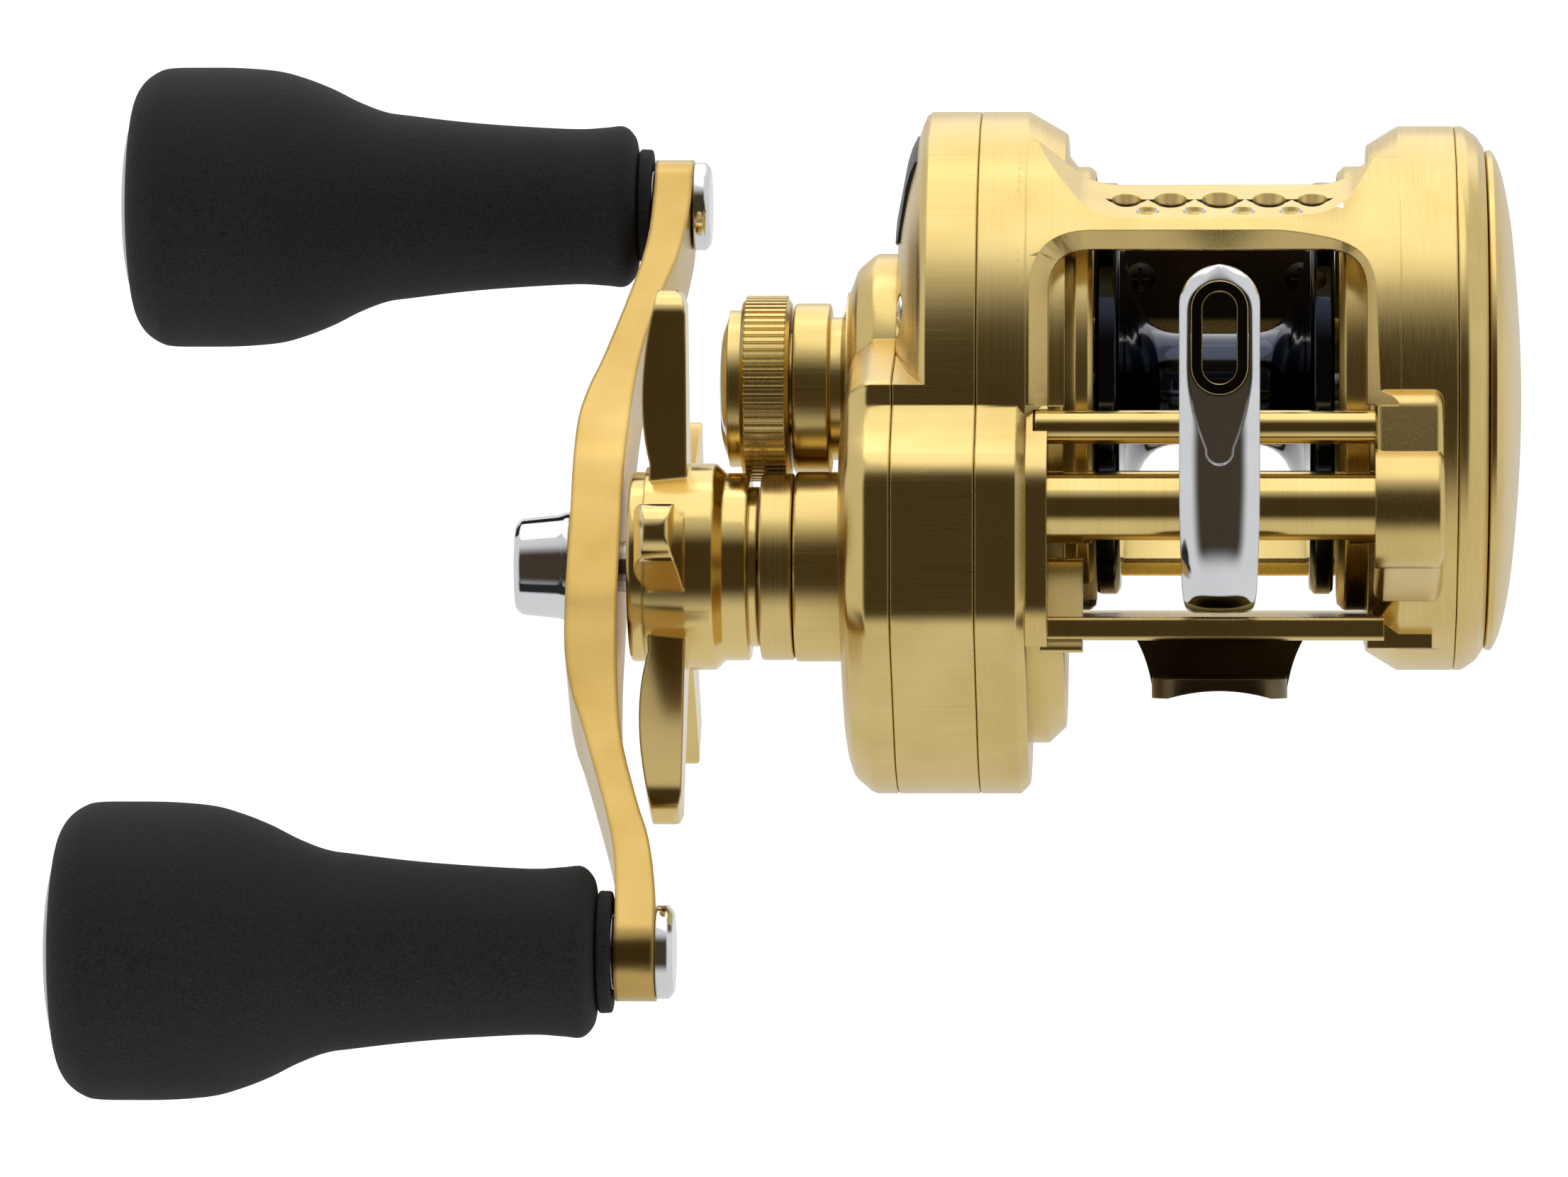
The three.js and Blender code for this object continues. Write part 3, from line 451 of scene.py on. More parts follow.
def housing(inset):
    """Handle-side outline in Y and Z: main circle, gear bulge and the level-wind case in front."""
    rim, bulge = RIM_R - inset, BULGE_R - inset
    front, low = FRONT_Y + inset, FRONT_LOW + 0.6 * inset
    apart = math.hypot(DRIVE[0] - SPOOL[0], DRIVE[1] - SPOOL[1])
    rear = math.degrees(math.atan2(DRIVE[1] - SPOOL[1],
                                   DRIVE[0] - SPOOL[0]) + math.acos((rim - bulge) / apart))
    reach = math.hypot(front - DRIVE[0], low - DRIVE[1])
    under = math.degrees(math.atan2(low - DRIVE[1], front - DRIVE[0]) + math.acos(bulge / reach))
    shoulder = arc(SPOOL, rim, 184, 184, 1)[0]
    top = FRONT_HIGH - 0.4 * inset
    under -= 360 if under > rear else 0
    made = arc(SPOOL, rim, 184, rear, 116) + arc(DRIVE, bulge, rear, under, 70)
    slope = curve((front, top), (-rim - 1.2, 26.2), shoulder, 16)
    return rounded(made + [(front, low, 5), (front, top, 5)] + slope[7:-1], steps=8)


def cover_outline(inset, count=420):
    """Cover: the housing below two slopes, with a round lobe round the cast control above."""
    hub = Vector((-4, 22))
    outline = [Vector(p) - hub for p in housing(inset)]
    slopes = [((-27.8, 30.8), (-12.8, 35.2)), ((-12.8, 35.2), (12.8, 35.2)), ((12.8, 35.2), (27.8, 30.8))]
    lobe = Vector(SPOOL) - hub
    made = []
    for i in range(count):
        turn = 2 * math.pi * i / count
        ray = Vector((math.cos(turn), math.sin(turn)))
        far = 0
        for a, b in zip(outline, outline[1:] + outline[:1]):
            edge = b - a
            crossing = ray.x * edge.y - ray.y * edge.x
            if abs(crossing) < 1e-9:
                continue
            along = (a.x * edge.y - a.y * edge.x) / crossing
            share = (a.x * ray.y - a.y * ray.x) / crossing
            if along > 0 and -1e-9 <= share <= 1 + 1e-9:
                far = max(far, along)
        for a, b in slopes:
            a, b = Vector(a) - hub, Vector(b) - hub
            normal = Vector((a.y - b.y, b.x - a.x)).normalized()
            if normal.dot(ray) > 1e-6:
                far = min(far, (normal.dot(a) - inset) / normal.dot(ray))
        ahead = lobe.dot(ray)
        across = lobe.length_squared - ahead ** 2
        inside = max(LOBE_R - inset, 9.7) ** 2 - across
        if inside > 0:
            far = max(far, ahead + math.sqrt(inside))
        made.append(tuple(hub + ray * far))
    return made


def shell(outline, stations):
    return stacked("shell", [[(x, y, z) for y, z in outline(inset)] for x, inset in stations])


# ---------------------------------------------------------------- frame


def build_frame():
    body = shell(housing, [(-23.8, 0.12), (-23.68, 0), (-19.95, 0), (-19.75, 0.08), (-19.05, 0.78),
                           (-18.9, 1.0)])
    join(body,
         turned("tool", rounded([(-21, 0), (-21, 27.84), (-19.1, 27.84, 0.5), (-15.2, 25.6, 0.4), (-15.2, 0)],
                                closed=False), SPOOL, 160),
         turned("tool", rounded([(-20, 0), (-20, 17.6), (-17, 17.6, 0.3), (-15.3, 16, 0.3), (-15.3, 0)],
                                closed=False), DRIVE, 128),
         common(prism_x(housing(1.1), -20, -16.8), box(-30, 0, -40, -18, 5, 30)))
    cut(body, box(-16.8, 0, -40, -26, 0, 44), disc(-16.8, 0, 23.1, SPOOL, 160))
    lip = turned("tool", rounded([(-18.8, 21.3), (-18.8, 24), (-15.6, 24), (-14.2, 22.3, 0.4),
                                  (-13, 22.3, 0.4),
                                  (-12.4, 21.8, 0.3), (-12.4, 21.35)]), SPOOL, 160)
    rim = turned("tool", rounded([(14.6, 15), (14.6, 25.4, 0.3), (17.7, PALM_R, 0.6), (23.18, PALM_R, 0.1),
                                  (23.3, PALM_R - 0.12), (23.3, 15)]), PALM, 160)
    palm_lip = turned("tool", rounded([(15.5, 17), (15.5, 22.3), (12.4, 22.3, 0.5), (11.7, 21.6, 0.3),
                                       (11.7, 17)]), SPOOL, 160)
    boss = turned("tool", rounded([(15.1, 0), (15.1, 6), (15.9, 6, 0.5), (21.4, 6, 0.5), (21.8, 5.4, 0.2),
                                   (21.8, 0)],
                                  closed=False), TUBE, 96)
    root = prism_x(rounded([(-31.3, 14), (-27, 12.6, 3), (-18, 9), (-18, 31), (-24.6, 31.4, 2),
                            (-28.9, 29.2, 2),
                            (-30.4, 23, 1)]), 15.1, 21.8)
    eased(root, 1.1, 40, 4)
    rear_bar = prism_x(rounded([(23.4, 33.6, 0.4), (25.6, 33.6, 0.6), (25.2, 38.2, 0.6),
                                (23.4, 38.2, 0.4)]), -18, 18)
    low_bar = prism_x(rounded([(19.4, 11.2, 0.5), (21, 14.4, 0.6), (19.8, 16, 0.6), (17.6, 13, 0.5)]),
                      -18, 18)
    platform = prism_x(rounded([(-29, 5.6, 0.6), (22, 5.6, 0.6), (22, 7.9, 0.6), (-29, 7.9, 0.5)]), -17.5, 16)
    root_block = box(14.6, 21, -14, 14, 4.6, 8.4)
    corner = prism_x(rounded([(-29, 4.4, 0.5), (-22.6, 4.4), (-22.6, 13.6), (-25.2, 13.6, 0.8)]), -17.5,
                     -13.4)
    join(body, lip, rim, palm_lip, boss, root, build_hood(), rear_bar, low_bar, platform, root_block, corner)
    cut(body, common(window_cutter(), ring(-40, 40, 24.2, 80, SPOOL, 160)))
    holes = []
    for x, r in ((-9.2, 1.45), (-4.85, 1.65), (0, 1.8), (4.85, 1.65), (9.1, 1.45)):
        top, foot = Vector((x, -16.2, 53)), Vector((x, -20.6, 41))
        mouth = top.lerp(foot, (53 - HOLE_Z) / 12)
        holes += [rod(top, foot, r), rod(mouth, mouth.lerp(foot, 0.1), r + 0.65, r - 0.1)]
    return cut(body,
               prism_x(housing(2.3), -24.8, -20.9), disc(-21, -18.8, 24.4, SPOOL),
               disc(-21, -18.8, 15, DRIVE),
               disc(-15, 40, 21.3, SPOOL, 160),
               disc(-30, 0, 6.2, SPOOL), disc(-30, 0, 5, DRIVE),
               disc(-30, 19.4, 3.6, TUBE), disc(-18.2, 17.6, 1.7, ROD),
               box(-21, -12, 20, 22.3, 35.8, 44.4), box(11, 16.5, 20, 22.3, 35.8, 44.4),
               disc(-24, -18.8, 5.2, TUBE), *holes,
               *[rod((0, y, 4), (0, y, 9), 1.15) for y in FOOT_SCREWS])


def window(grow, radius):
    """Outline of the window in front of the spool, laid on a cylinder about its axis or on a plane."""
    outline = rounded([(-16.8 - grow, 28.5), (14.4 + grow, 28.5), (14.4 + grow, 43.9 + grow, 4.2 + grow),
                       (-16.8 - grow, 43.9 + grow, 4.2 + grow)], steps=10)
    made = []
    for a, b in zip(outline, outline[1:] + outline[:1]):
        parts = 16 if (Vector(b) - Vector(a)).length > 6.8 else 1
        made += [tuple(Vector(a).lerp(Vector(b), i / parts)) for i in range(parts)]
    if radius > 40:
        return [(x, -radius, z) for x, z in made]
    return [(x, SPOOL[0] - math.sqrt(radius ** 2 - (z - SPOOL[1]) ** 2), z) for x, z in made]


def window_cutter():
    """What the bevelled window takes away from the frame."""
    inner = [(x, -14, z) for x, _, z in window(0, 30)]
    return stacked("tool", [inner, window(0, 26.1), window(1.9, 27.9), window(3, 29), window(3, 60)])


def build_hood():
    """Hood over the line guide: the housing's cylinder milled to a tilted flat between sloping sides."""
    circles = []
    for x, share in [(-19, 0)] + [(5 + 9.5 * i / 16, i / 16) for i in range(17)] + [(17.7, 1)]:
        ease = share * share * (3 - 2 * share)
        middle = SPOOL[1] + ease * (PALM[1] - SPOOL[1])
        circles.append([(x, y, z) for y, z in arc((0, middle), RIM_R + ease * (PALM_R - RIM_R), 0, 358.5,
                                                  239)])
    band = cut(stacked("band", circles), disc(-25, 25, 22, SPOOL, 160))
    common(band, box(-19, 17.7, -30, -13.4, 28.6, 60))
    valley = curve((-9.6, 0), (-12.2, 0), (-13.8, 1.1), 8) + [(-21, 6.2), (-21, 20), (20, 20), (20, 6.2)]
    valley += curve((13.2, 1.1), (11.6, 0), (9.2, 0), 8)
    place = shift(0, -23, 46.8) @ turn_x(HOOD_TILT)
    milled = moved(prism_y(valley, -20, 30), place)
    dimples = [moved(rod((x, 2.6, -0.45), (x, 2.6, 0.5), 0.8, 1.6), place) for x in (-7.1, -2.5, 2.3, 7.0)]
    return cut(band, milled, window_cutter(), *dimples)


def second_finish(piece, material, chosen):
    """Gives the chosen faces a second material."""
    piece.data.materials.append(material)
    for face in piece.data.polygons:
        if chosen(face):
            face.material_index = 1


def on_countersink(face):
    """The bare metal cones at the mouths of the holes in the hood."""
    at = face.center / MM
    along_hole = abs(face.normal.dot(Vector(HOLE_LINE).normalized()))
    out_of_flat = face.normal.dot(Vector((0, -0.3616, 0.9323)))
    return abs(at.x) < 12 and -20.5 < at.y < -15 and at.z > 47.6 and along_hole > 0.2 and out_of_flat < 0.9


second_finish(shown(build_frame(), "frame", "frame", gold_turned), chrome, on_countersink)


def rounded_rect(x0, x1, y0, y1, r):
    return rounded([(x0, y0, r), (x1, y0, r), (x1, y1, r), (x0, y1, r)], steps=12)


def build_foot():
    blade = prism_z(rounded_rect(-6.6, 6.6, -33, 29, 5), 0, 1.9)
    neck = curve((-8.3, 5.5), (-7, 3.2), (-6.6, 0), 10) + curve((6.6, 0), (7, 3.2), (8.3, 5.5), 10)
    join(blade, prism_y(neck, -13, 13))
    hollow = [(-5, -1)] + curve((-5, 0), (0, 1.5), (5, 0), 16) + [(5, -1)]
    cut(blade, prism_y(hollow, -40, 32), *[rod((0, y, 0), (0, y, 6), 1.15) for y in FOOT_SCREWS],
        *[rod((0, y, 0), (0, y, 2.6), 2.1) for y in FOOT_SCREWS])
    return eased(blade, 0.25)


shown(build_foot(), "reel_foot", "frame", bronze)

# ---------------------------------------------------------------- handle-side plate and cover


def build_side_plate():
    band = shell(housing, [(-28.8, 0), (-23.97, 0), (-23.85, 0.12)])
    dome = turned("tool", [(-23.9, 0), (-23.88, 27.7), (-24.0, 27.84), (-28.8, 27.84), (-29.3, 27.5),
                           (-29.7, 26.6),
                           (-30.1, 25.4), (-30.5, 24.3), (-30.9, 23), (-31.5, 20.4), (-32, 17.6),
                           (-32, 0)], SPOOL, 160)
    lower = shell(housing, [(-32, 0.12), (-31.88, 0), (-28, 0)])
    cut(lower, prism_x([(-60, 30.6), (-27.8, 30.6), (-12.8, 35), (12.8, 35), (27.8, 30.6), (60, 30.6),
                        (60, 90),
                        (-60, 90)], -40, 0))
    join(band, dome, lower)
    return cut(band, prism_x(housing(2.3), -30, -23), disc(-40, 0, 5.1, SPOOL), disc(-40, 0, 9.2, DRIVE),
               disc(-33, -31.2, 2.1, INSERT_SCREW))


shown(build_side_plate(), "handle_side_plate", "frame", gold_plate)


def build_cover():
    body = shell(cover_outline, [(-32.05, 0.12), (-32.17, 0), (-34.2, 0), (-34.75, 0.25), (-36.1, 1.4),
                                 (-36.45, 1.9),
                                 (-36.9, 3.2), (-37.2, 5), (-37.4, 7.5)])
    neck = turned("tool", rounded([(-36, 0), (-36, 7.2), (-39.1, 7.2, 0.2), (-39.1, 8.6, 0.35),
                                   (-42.8, 8.6, 0.5),
                                   (-42.8, 5.8), (-46.4, 5.8), (-46.4, 0)], closed=False), SPOOL)
    flare = turned("tool", [(-36, 0), (-36, 9.6), (-37.3, 8.6), (-37.9, 7.3), (-37.9, 0)], SPOOL)
    boss = turned("tool", rounded([(-36, 0), (-36, 9.5), (-42.4, 9.5, 0.4), (-42.4, 0)], closed=False), DRIVE)
    join(body, neck, flare, boss)
    return cut(body, disc(-50, -30, 5.1, SPOOL), disc(-43, -30, 7.6, DRIVE))


shown(build_cover(), "gear_cover", "frame", gold_plate)

insert = turned("tool", [(-32.3, 0), (-32.3, 17.6), (-31.25, 23), (-30.85, 24.3), (-30.3, 25.4),
                         (-29.9, 25.4), (-29.9, 0)],
                SPOOL, 160)
common(insert, box(-40, 0, -12, 24, 44.8, 60))
shown(insert, "side_plate_insert", "frame", plastic)


def build_cross_screw(at, x0, x1, r):
    """Crowned screw head with a cross slot, facing -X."""
    head = turned("screw", [(x0, 0), (x0 + 0.12, 0.55 * r), (x0 + 0.45, r), (x1, r), (x1, 0)], at, 48)
    slots = [box(x0 - 1, x0 + 0.45, -0.2, 0.2, -0.62 * r, 0.62 * r),
             box(x0 - 1, x0 + 0.45, -0.62 * r, 0.62 * r, -0.2, 0.2)]
    for slot in slots:
        moved(slot, shift(0, *at))
    return cut(head, *slots)


shown(build_cross_screw(INSERT_SCREW, -32, -30.8, 1.9), "insert_screw", "frame", chrome)

# ---------------------------------------------------------------- palm side

palm_plate = turned("palm", rounded([(23.35, 6), (23.35, PALM_R - 0.12), (23.47, PALM_R), (24.2, PALM_R, 1.2),
                                     (25.6, PALM_R - 1.0, 1.2), (26.3, PALM_R - 2.05, 0.15), (26.3, 20),
                                     (25, 19), (25, 6)]),
                    PALM, 160)
join(palm_plate, ring(18.4, 24.5, 4.6, 6.5, SPOOL), ring(19, 24.5, 17, 18.6, SPOOL))
shown(palm_plate, "palm_side_plate", "frame", gold_turned)

CAP_AXIS = (PALM[0], PALM[1] - 0.2)
cap_profile = smooth_line([(27.1, 25.1), (27.8, 23.8), (28.5, 21.2), (29.2, 16.8), (29.9, 8.6),
                           (30.25, 0)], 5)
palm_cap = turned("cap", [(26.4, 0), (26.4, 24.8), (26.55, 25.02), (26.8, 25.1), *cap_profile], CAP_AXIS, 160)
shown(palm_cap, "palm_cap", "frame", gold_turned)

# ---------------------------------------------------------------- rails, boss cap and line guide

tube = turned("tube", [(-18.7, 2.7), (-18.7, 3.55), (19.2, 3.55), (19.2, 2.7)], TUBE, 96)
cut(tube, box(-12.5, 12.5, TUBE[0] - 1.5, TUBE[0] + 1.5, 10, TUBE[1]))
shown(tube, "level_wind_tube", "frame", gold_tube)
shown(disc(-18, 17.4, 1.65, ROD, 64), "guide_rod", "frame", gold_tube)
shown(turned("cap", rounded([(-45.8, 5), (-45.8, 9.35, 0.35), (-42.5, 9.35, 0.35), (-42.5, 5)]), DRIVE),
      "boss_cap",
      "frame", gold_drive)


def oval(half_width, height, centre=34.9):
    rise = height / 2 - half_width
    return arc((0, centre + rise), half_width, 0, 180, 24) + arc((0, centre - rise), half_width, 180, 360, 24)


def build_line_guide():
    """Column over the tube with a crowned front: half width, front and back at each height."""
    heights = [(8.3, 2.7, -30.8, -25.0), (8.7, 3.2, -32.8, -24.2), (9.6, 3.5, -35.0, -23.6),
               (11, 3.65, -36.6, -23.1),
               (13.5, 3.75, -37.9, -22.8), (16.5, 3.85, -38.6, -22.6), (20, 3.9, -39.1, -22.7),
               (24, 3.9, -39.35, -22.9),
               (28.2, 3.9, -39.5, -24.2), (28.9, 3.9, -39.55, -26), (29.2, 3.9, -39.6, -31),
               (30, 3.9, -39.6, -33.8),
               (31.5, 3.9, -39.6, -34.5), (38.1, 3.9, -39.5, -35)]
    heights = smooth_line(heights, 4)
    for x, z in arc((0, 38.1), 3.9, 6, 84, 13):
        heights.append((z, x, -39.5 + 0.25 * (z - 38.1) ** 2 / 4, -35.1))
    rings = []
    for z, half, front, back in heights:
        ring_points = [(half * i / 10, front + 1.7 * abs(i / 10) ** 2.6, z) for i in range(-10, 11)]
        ring_points += [(half, back - 0.5, z), (0.85 * half, back, z), (-0.85 * half, back, z),
                        (-half, back - 0.5, z)]
        rings.append(ring_points)
    body = stacked("guide", rings)
    drop = arc((0, 37.3), 3.1, 0, 180, 24) + curve((-3.1, 32), (-2.9, 28), (-1.3, 24.2), 8)
    drop += arc((0, 24), 1.32, 190, 350, 10) + curve((1.3, 24.2), (2.9, 28), (3.1, 32), 8)
    return cut(body, disc(-9, 9, 3.62, TUBE), disc(-9, 9, 1.7, ROD, 64), prism_y(oval(2.8, 11.1), -45, -20),
               prism_y(drop, -45, -38.55))


shown(build_line_guide(), "line_guide", "line_guide", chrome, sharp=40)
eye = prism_y(oval(2.75, 11.0), -39.9, -35.2, "eye")
cut(eye, prism_y(oval(1.65, 8.9), -45, -30))
eye = shown(eased(eye, 0.3, 40, 3), "guide_insert", "line_guide", smoke, sharp=50)
second_finish(eye, gold_polished, lambda face: 0.2 < abs(face.normal.y) < 0.97)

# ---------------------------------------------------------------- spool


def build_spool():
    barrel = [(-0.5 + 9 * u, 5.6 + 7.4 * u ** 6) for u in [i / 14 - 1 for i in range(29)]]
    profile = [(-12.3, 1.55), (-12.3, 4.5), (-11.2, 8), (-11.2, 18.4), (-12.3, 19.2, 0.3), (-12.3, 20.5, 0.3),
               (-11.9, 20.7, 0.4), (-10.3, 20.7, 0.5), (-9.9, 20.1, 0.4), *barrel, (8.9, 20.1, 0.4),
               (9.4, 20.7, 0.5), (11.0, 20.7, 0.4), (11.3, 20.3, 0.3), (11.3, 19.2, 0.3), (10.3, 18.4),
               (10.3, 8),
               (11.3, 4.5), (11.3, 1.55)]
    return turned("spool", rounded(profile, steps=4), SPOOL, 160)


shown(build_spool(), "spool", "spool", navy)

# ---------------------------------------------------------------- thumb bar


def build_thumb_bar():
    pad = prism_x(rounded([(21.6, 42.8), (25.4, 42.8, 0.6), (28.2, 43.4, 0.8), (28.6, 44.6, 0.9),
                           (25, 46.2, 1.2),
                           (21.6, 45.1)]), -10.4, 9.4)
    plate = box(-10.4, 9.4, 20.9, 22, 38, 45.1)
    join(pad, plate, box(-20.6, -10, 20.9, 21.7, 41, 42.6), box(9, 15.6, 20.9, 21.7, 41, 42.6))
    cut(pad, *[rod((x, 20, 42.2), (x, 23, 42.2), 1.1) for x in (-8.2, 8.2)])
    return eased(pad, 0.2)


shown(build_thumb_bar(), "thumb_bar", "thumb_bar", smoke)
for side, x in (("left", -8.2), ("right", 8.2)):
    screw = build_cross_screw((0, 0), 0, 2.8, 1.5)
    moved(screw, shift(x, 20.1, 42.2) @ Matrix.Rotation(math.radians(90), 4, "Z"))
    shown(screw, "thumb_screw_" + side, "thumb_bar", smoke)

# ---------------------------------------------------------------- yoke springs


def build_spring(y, z):
    """Coil round a yoke post, between the side plate and the yoke."""
    loops = []
    for i in range(109):
        turn = 2 * math.pi * 4.5 * i / 108
        loops.append([(-29.6 + 2.95 * i / 108 + b, y + (1.35 + a) * math.cos(turn),
                       z + (1.35 + a) * math.sin(turn))
                      for a, b in arc((0, 0), 0.22, 0, 324, 9)])
    return stacked("spring", loops)


for side, (y, z) in YOKE_POSTS.items():
    spring = shown(build_spring(y, z), "yoke_spring_" + side, "frame", steel)
    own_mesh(spring)

# ---------------------------------------------------------------- cast control and star


def build_cast_cap():
    dome = smooth_line([(-50.3, 0), (-50.25, 3), (-50.05, 5.4), (-49.45, 7.2)], 5)
    profile = [*dome, (-49.3, 7.5), (-49.3, 7.9), (-48, 7.9), (-48, 8.7), (-47.6, 9.12), (-43.5, 9.12),
               (-43.1, 8.7),
               (-43.1, 6), (-47.4, 6), (-47.4, 0)]
    body = turned("cap", profile, SPOOL, 150)
    ridges = []
    for i in range(70):
        ridge = prism_x([(9.0, -0.36), (9.38, -0.2), (9.38, 0.2), (9.0, 0.36)], -47.6, -43.5)
        ridges.append(moved(ridge, shift(0, *SPOOL) @ turn_x(360 / 70 * i)))
    return join(body, *ridges)


cast_cap = shown(build_cast_cap(), "cast_control_cap", "cast_control", gold_turned)
second_finish(cast_cap, chrome, lambda face: face.center.x / MM < -49.4)


def build_star():
    hub = turned("hub", rounded([(-58.9, 2.65), (-58.9, 9.5, 0.5), (-57.3, 9.5), (-57.3, 10),
                                 (-53.1, 10.36, 0.3),
                                 (-50.4, 10.36, 0.4), (-49.4, 9.4, 0.2), (-46.9, 9.4, 0.4), (-46.9, 8),
                                 (-46, 8, 0.2),
                                 (-46, 2.65)]))
    plan = curve((6, -4.2), (14, -2.9), (24.6, -2.8), 10) + arc((25.2, 0), 2.8, -90, 90, 16)
    plan += curve((24.6, 2.8), (14, 2.9), (6, 4.2), 10)
    side = [(-53.1, 4), (-53.1, 26)] + curve((-53.4, 27.4), (-53.8, 28), (-54.6, 28), 4)
    side += curve((-56, 28), (-58.6, 18), (-56.8, 11), 12) + [(-57, 4)]
    arms = []
    for i in range(5):
        arm = prism_x(plan, -60, -50)
        common(arm, moved(prism_y(side, -10, 10), turn_x(-90)))
        eased(arm, 0.7, 30, 3)
        arms.append(moved(arm, turn_x(STAR_TILT + 72 * i)))
    join(hub, *arms)
    return moved(hub, shift(0, *DRIVE))


shown(build_star(), "drag_star", "drag_star", gold_polished)

# ---------------------------------------------------------------- handle

HANDLE = shift(0.4, *DRIVE) @ turn_x(-ARM_TILT)


def build_arm():
    outer = [(0, -65.2), (13, -65.2), (19, -64.4), (24.5, -62.8), (37, -59.6), (45, -58.8), (54, -58.8)]
    inner = [(54, -54.9), (45, -54.9), (38, -55.8), (33, -57.2), (24, -59.2), (12, -60), (0, -60.1)]
    outer = smooth_line(outer, 4)[1:]
    inner = smooth_line(inner, 4)[:-1]
    upper = [(x, w) for w, x in outer + inner]
    sweep = upper + [(x, -w) for x, w in reversed(upper)]
    right = smooth_line([(6.6, 0), (6.6, 7), (5.9, 12), (4.7, 22), (4.6, 34), (4.8, ARM_LENGTH)], 4)
    top = right + arc((0, ARM_LENGTH), 4.8, 0, 180, 24)[1:-1] + [(-y, z) for y, z in reversed(right)]
    plan = top[:-1] + [(y, -z) for y, z in reversed(top)][:-1]
    body = common(prism_y(sweep, -10, 10), prism_x(plan, -70, -50))
    eased(body, 0.9, 30, 4)
    return cut(body, disc(-70, -50, 2.6), *[disc(-70, -50, 2.1, (0, end * ARM_LENGTH)) for end in (1, -1)])


# The arm's darker gold is painted shade over its satin finish.
shown(moved(build_arm(), HANDLE), "handle_arm", "handle", gold_satin_shaded)

nut = turned("nut", rounded([(-70.9, 0), (-70.9, 4.3, 0.5), (-70.3, 4.8, 0.4), (-66.6, 5.2),
                             (-65.9, 5.45, 0.2),
                             (-65.3, 5.5, 0.2), (-65.3, 0)], closed=False))
shown(moved(nut, HANDLE), "handle_nut", "handle", chrome)

for side, end in (("upper", 1), ("lower", -1)):
    knob = HANDLE @ shift(0, 0, end * ARM_LENGTH)
    body = "knob_" + side
    spindle = turned("spindle", rounded([(-111.4, 0), (-111.4, 2.4), (-60.6, 2.4), (-60.6, 3.65),
                                         (-58.9, 3.65, 0.2),
                                         (-58.9, 2), (-55, 2), (-55, 0)], closed=False))
    shown(moved(spindle, knob), "knob_spindle_" + side, "handle", steel)
    inner_cap = turned("cap", rounded([(-54.8, 0), (-54.8, 4.55, 0.1), (-53.6, 4.55, 0.4), (-53.1, 3.9, 0.4),
                                       (-53.1, 0)], closed=False))
    shown(moved(inner_cap, knob), "spindle_cap_" + side, "handle", chrome)
    grip = smooth_line([(-60.7, 6.2), (-61.0, 7.3), (-62.1, 8.3), (-64, 8.2), (-67, 8.05), (-73, 8.35),
                        (-78.7, 8.8),
                        (-84.2, 9.45), (-86.9, 9.85), (-89.7, 10.9), (-92.4, 12.25), (-95.2, 13.35),
                        (-98, 14.1),
                        (-102, 14.45), (-106, 14.5), (-109, 14.45), (-110.4, 14.1), (-111.8, 13.1),
                        (-112.7, 11.6),
                        (-113.1, 9.4)], 5)
    collar = rounded([(-59.1, 3.8), (-59.1, 5.9, 0.3), (-60.4, 5.95, 0.3), (-60.5, 5.2)], closed=False)
    grip = turned("grip", [*collar, *grip, (-112.7, 9.35), (-112.7, 3.8)], sides=128)
    grip = shown(moved(grip, knob), "knob_grip_" + side, body, foam_black)
    end_cap = turned("cap", [(-112.7, 0), (-112.7, 9.2), (-113.1, 9.25), (-113.4, 8.6), (-113.7, 7.2),
                             (-113.9, 5),
                             (-114, 2.5), (-114, 0)])
    shown(moved(end_cap, knob), "knob_cap_" + side, body, steel)

# ---------------------------------------------------------------- CAD nodes that stay

KEPT = {
    steel: ["foot_screw", "plate_screw", "brake_magnet_ring", "idler_stud", "bearing", "roller_clutch",
            "yoke_post",
            "yoke_spring", "spool_shaft", "spool_pin", "worm_shaft", "level_wind_pawl", "drive_shaft",
            "drag_plate",
            "pressure_plate", "clutch_tube"],
    brass: ["pinion", "main_gear"],
    plastic: ["clutch_cam", "yoke", "worm_gear", "idler_gear", "wind_drive_gear"],
    carbon: ["drag_washer_inner"],
}
for name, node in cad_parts.items():
    if node.hide_render:
        continue
    found = [m for m, words in KEPT.items() if name in words]
    found += [m for m, words in KEPT.items() if any(word in name for word in words)]
    node.data.materials.clear()
    node.data.materials.append(found[0] if found else steel)

# ---------------------------------------------------------------- light, floor and camera


def build_floor():
    floor = new_piece("floor", [(-4000, -4000, -60), (4000, -4000, -60), (4000, 6000, -60),
                                (-4000, 6000, -60)],
                      [[0, 1, 2, 3]])
    pale = Surface("pale_floor", Roughness=0.9)
    pale.colours(pale.noise(pale.place, scale=30.0), (0.86, 0.86, 0.86), (0.88, 0.88, 0.88))
    pale.shader.inputs["Emission Color"].default_value = (1, 1, 1, 1)
    pale.shader.inputs["Emission Strength"].default_value = 0.42
    floor.data.materials.append(pale.material)
    floor.visible_glossy = False


build_floor()


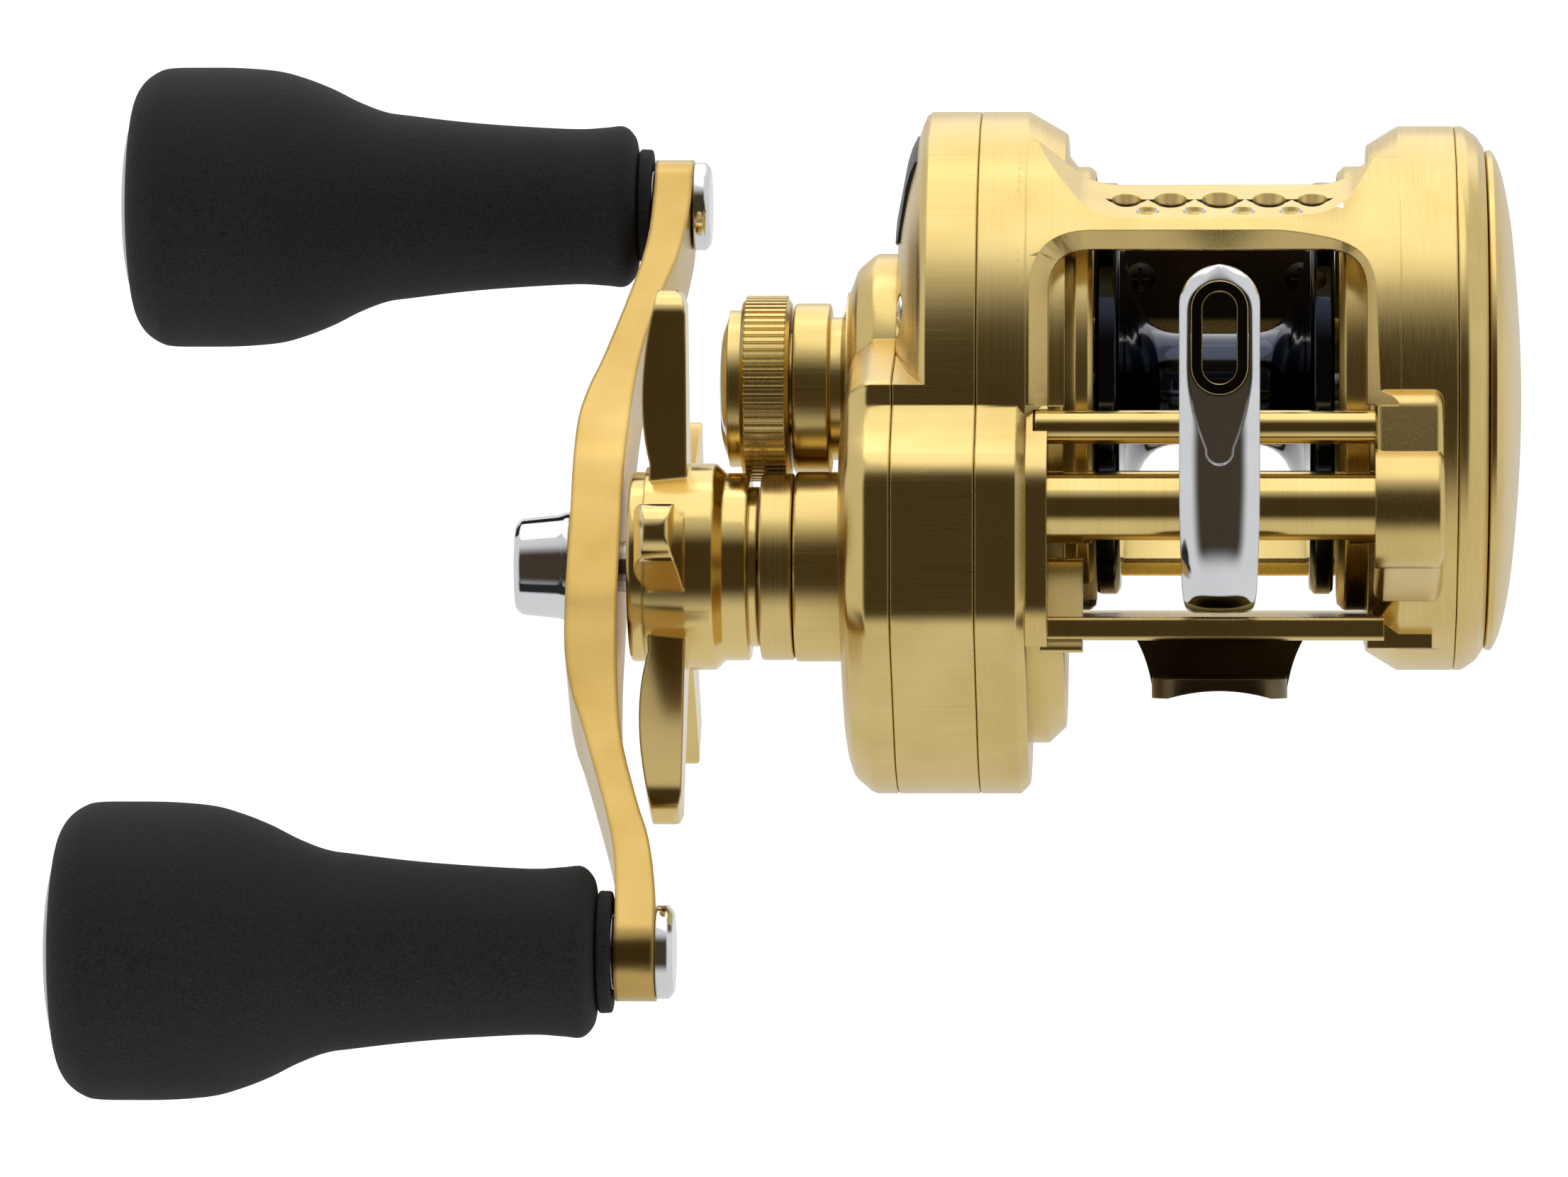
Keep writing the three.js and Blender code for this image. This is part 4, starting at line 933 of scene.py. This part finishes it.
def build_world():
    """Even white surroundings with one soft dark side, as in a light tent open towards the front."""
    world = bpy.data.worlds.new("studio")
    bpy.context.scene.world = world
    world.use_nodes = True
    tree = world.node_tree
    tree.nodes.clear()

    def node(kind, **settings):
        made = tree.nodes.new("ShaderNode" + kind)
        for key, value in settings.items():
            setattr(made, key, value)
        return made

    def fade(source, start, end):
        made = node("MapRange", interpolation_type="SMOOTHSTEP")
        for key, value in (("From Min", start), ("From Max", end), ("To Min", 0), ("To Max", 1)):
            made.inputs[key].default_value = value
        tree.links.new(source, made.inputs["Value"])
        return made.outputs["Result"]

    parts = node("SeparateXYZ")
    tree.links.new(node("TexCoord").outputs["Generated"], parts.inputs[0])
    steep = node("Math", operation="ABSOLUTE")
    tree.links.new(parts.outputs["Z"], steep.inputs[0])
    front = fade(parts.outputs["Y"], -0.35, -0.75)
    level = fade(steep.outputs[0], 0.84, 0.42)
    both = node("Math", operation="MULTIPLY")
    tree.links.new(front, both.inputs[0])
    tree.links.new(level, both.inputs[1])
    tint = node("ValToRGB")
    tint.color_ramp.elements[0].color = (0.78, 0.78, 0.78, 1)
    tint.color_ramp.elements[1].color = (0.06, 0.046, 0.03, 1)
    tree.links.new(both.outputs[0], tint.inputs["Fac"])
    light = node("Background")
    tree.links.new(tint.outputs["Color"], light.inputs["Color"])
    light.inputs["Strength"].default_value = 1.0
    backdrop = node("Background")
    backdrop.inputs["Color"].default_value = (1, 1, 1, 1)
    backdrop.inputs["Strength"].default_value = 1.2
    mix = node("MixShader")
    tree.links.new(node("LightPath").outputs["Is Camera Ray"], mix.inputs["Fac"])
    tree.links.new(light.outputs[0], mix.inputs[1])
    tree.links.new(backdrop.outputs[0], mix.inputs[2])
    tree.links.new(mix.outputs[0], node("OutputWorld").inputs["Surface"])


build_world()


def soft_light(name, place, aim, size, power):
    lamp = bpy.data.lights.new(name, "AREA")
    lamp.shape = "RECTANGLE"
    lamp.size, lamp.size_y = size
    lamp.energy = power
    holder = bpy.data.objects.new(name, lamp)
    holder.location = place
    holder.rotation_euler = (Vector(aim) - Vector(place)).to_track_quat("-Z", "Y").to_euler()
    bpy.context.scene.collection.objects.link(holder)


soft_light("key_top", (-0.1, -0.1, 0.75), (0, 0, 0.02), (0.9, 0.5), 1.0)
soft_light("floor_wash", (0.0, 0.9, 1.2), (0, 0.6, -0.06), (2.0, 1.5), 6)

camera_data = bpy.data.cameras.new("camera")
camera_data.sensor_width = 36
camera_data.lens = 205.06
camera_data.clip_start = 0.01
camera = bpy.data.objects.new("camera", camera_data)
camera.location = (0.001, -0.9, 0.01964)
camera.rotation_euler = (Vector((-0.04393, 0, 0.01035)) - camera.location).to_track_quat("-Z", "Y").to_euler()
bpy.context.scene.collection.objects.link(camera)
bpy.context.scene.camera = camera
bpy.context.scene.view_settings.view_transform = "Standard"
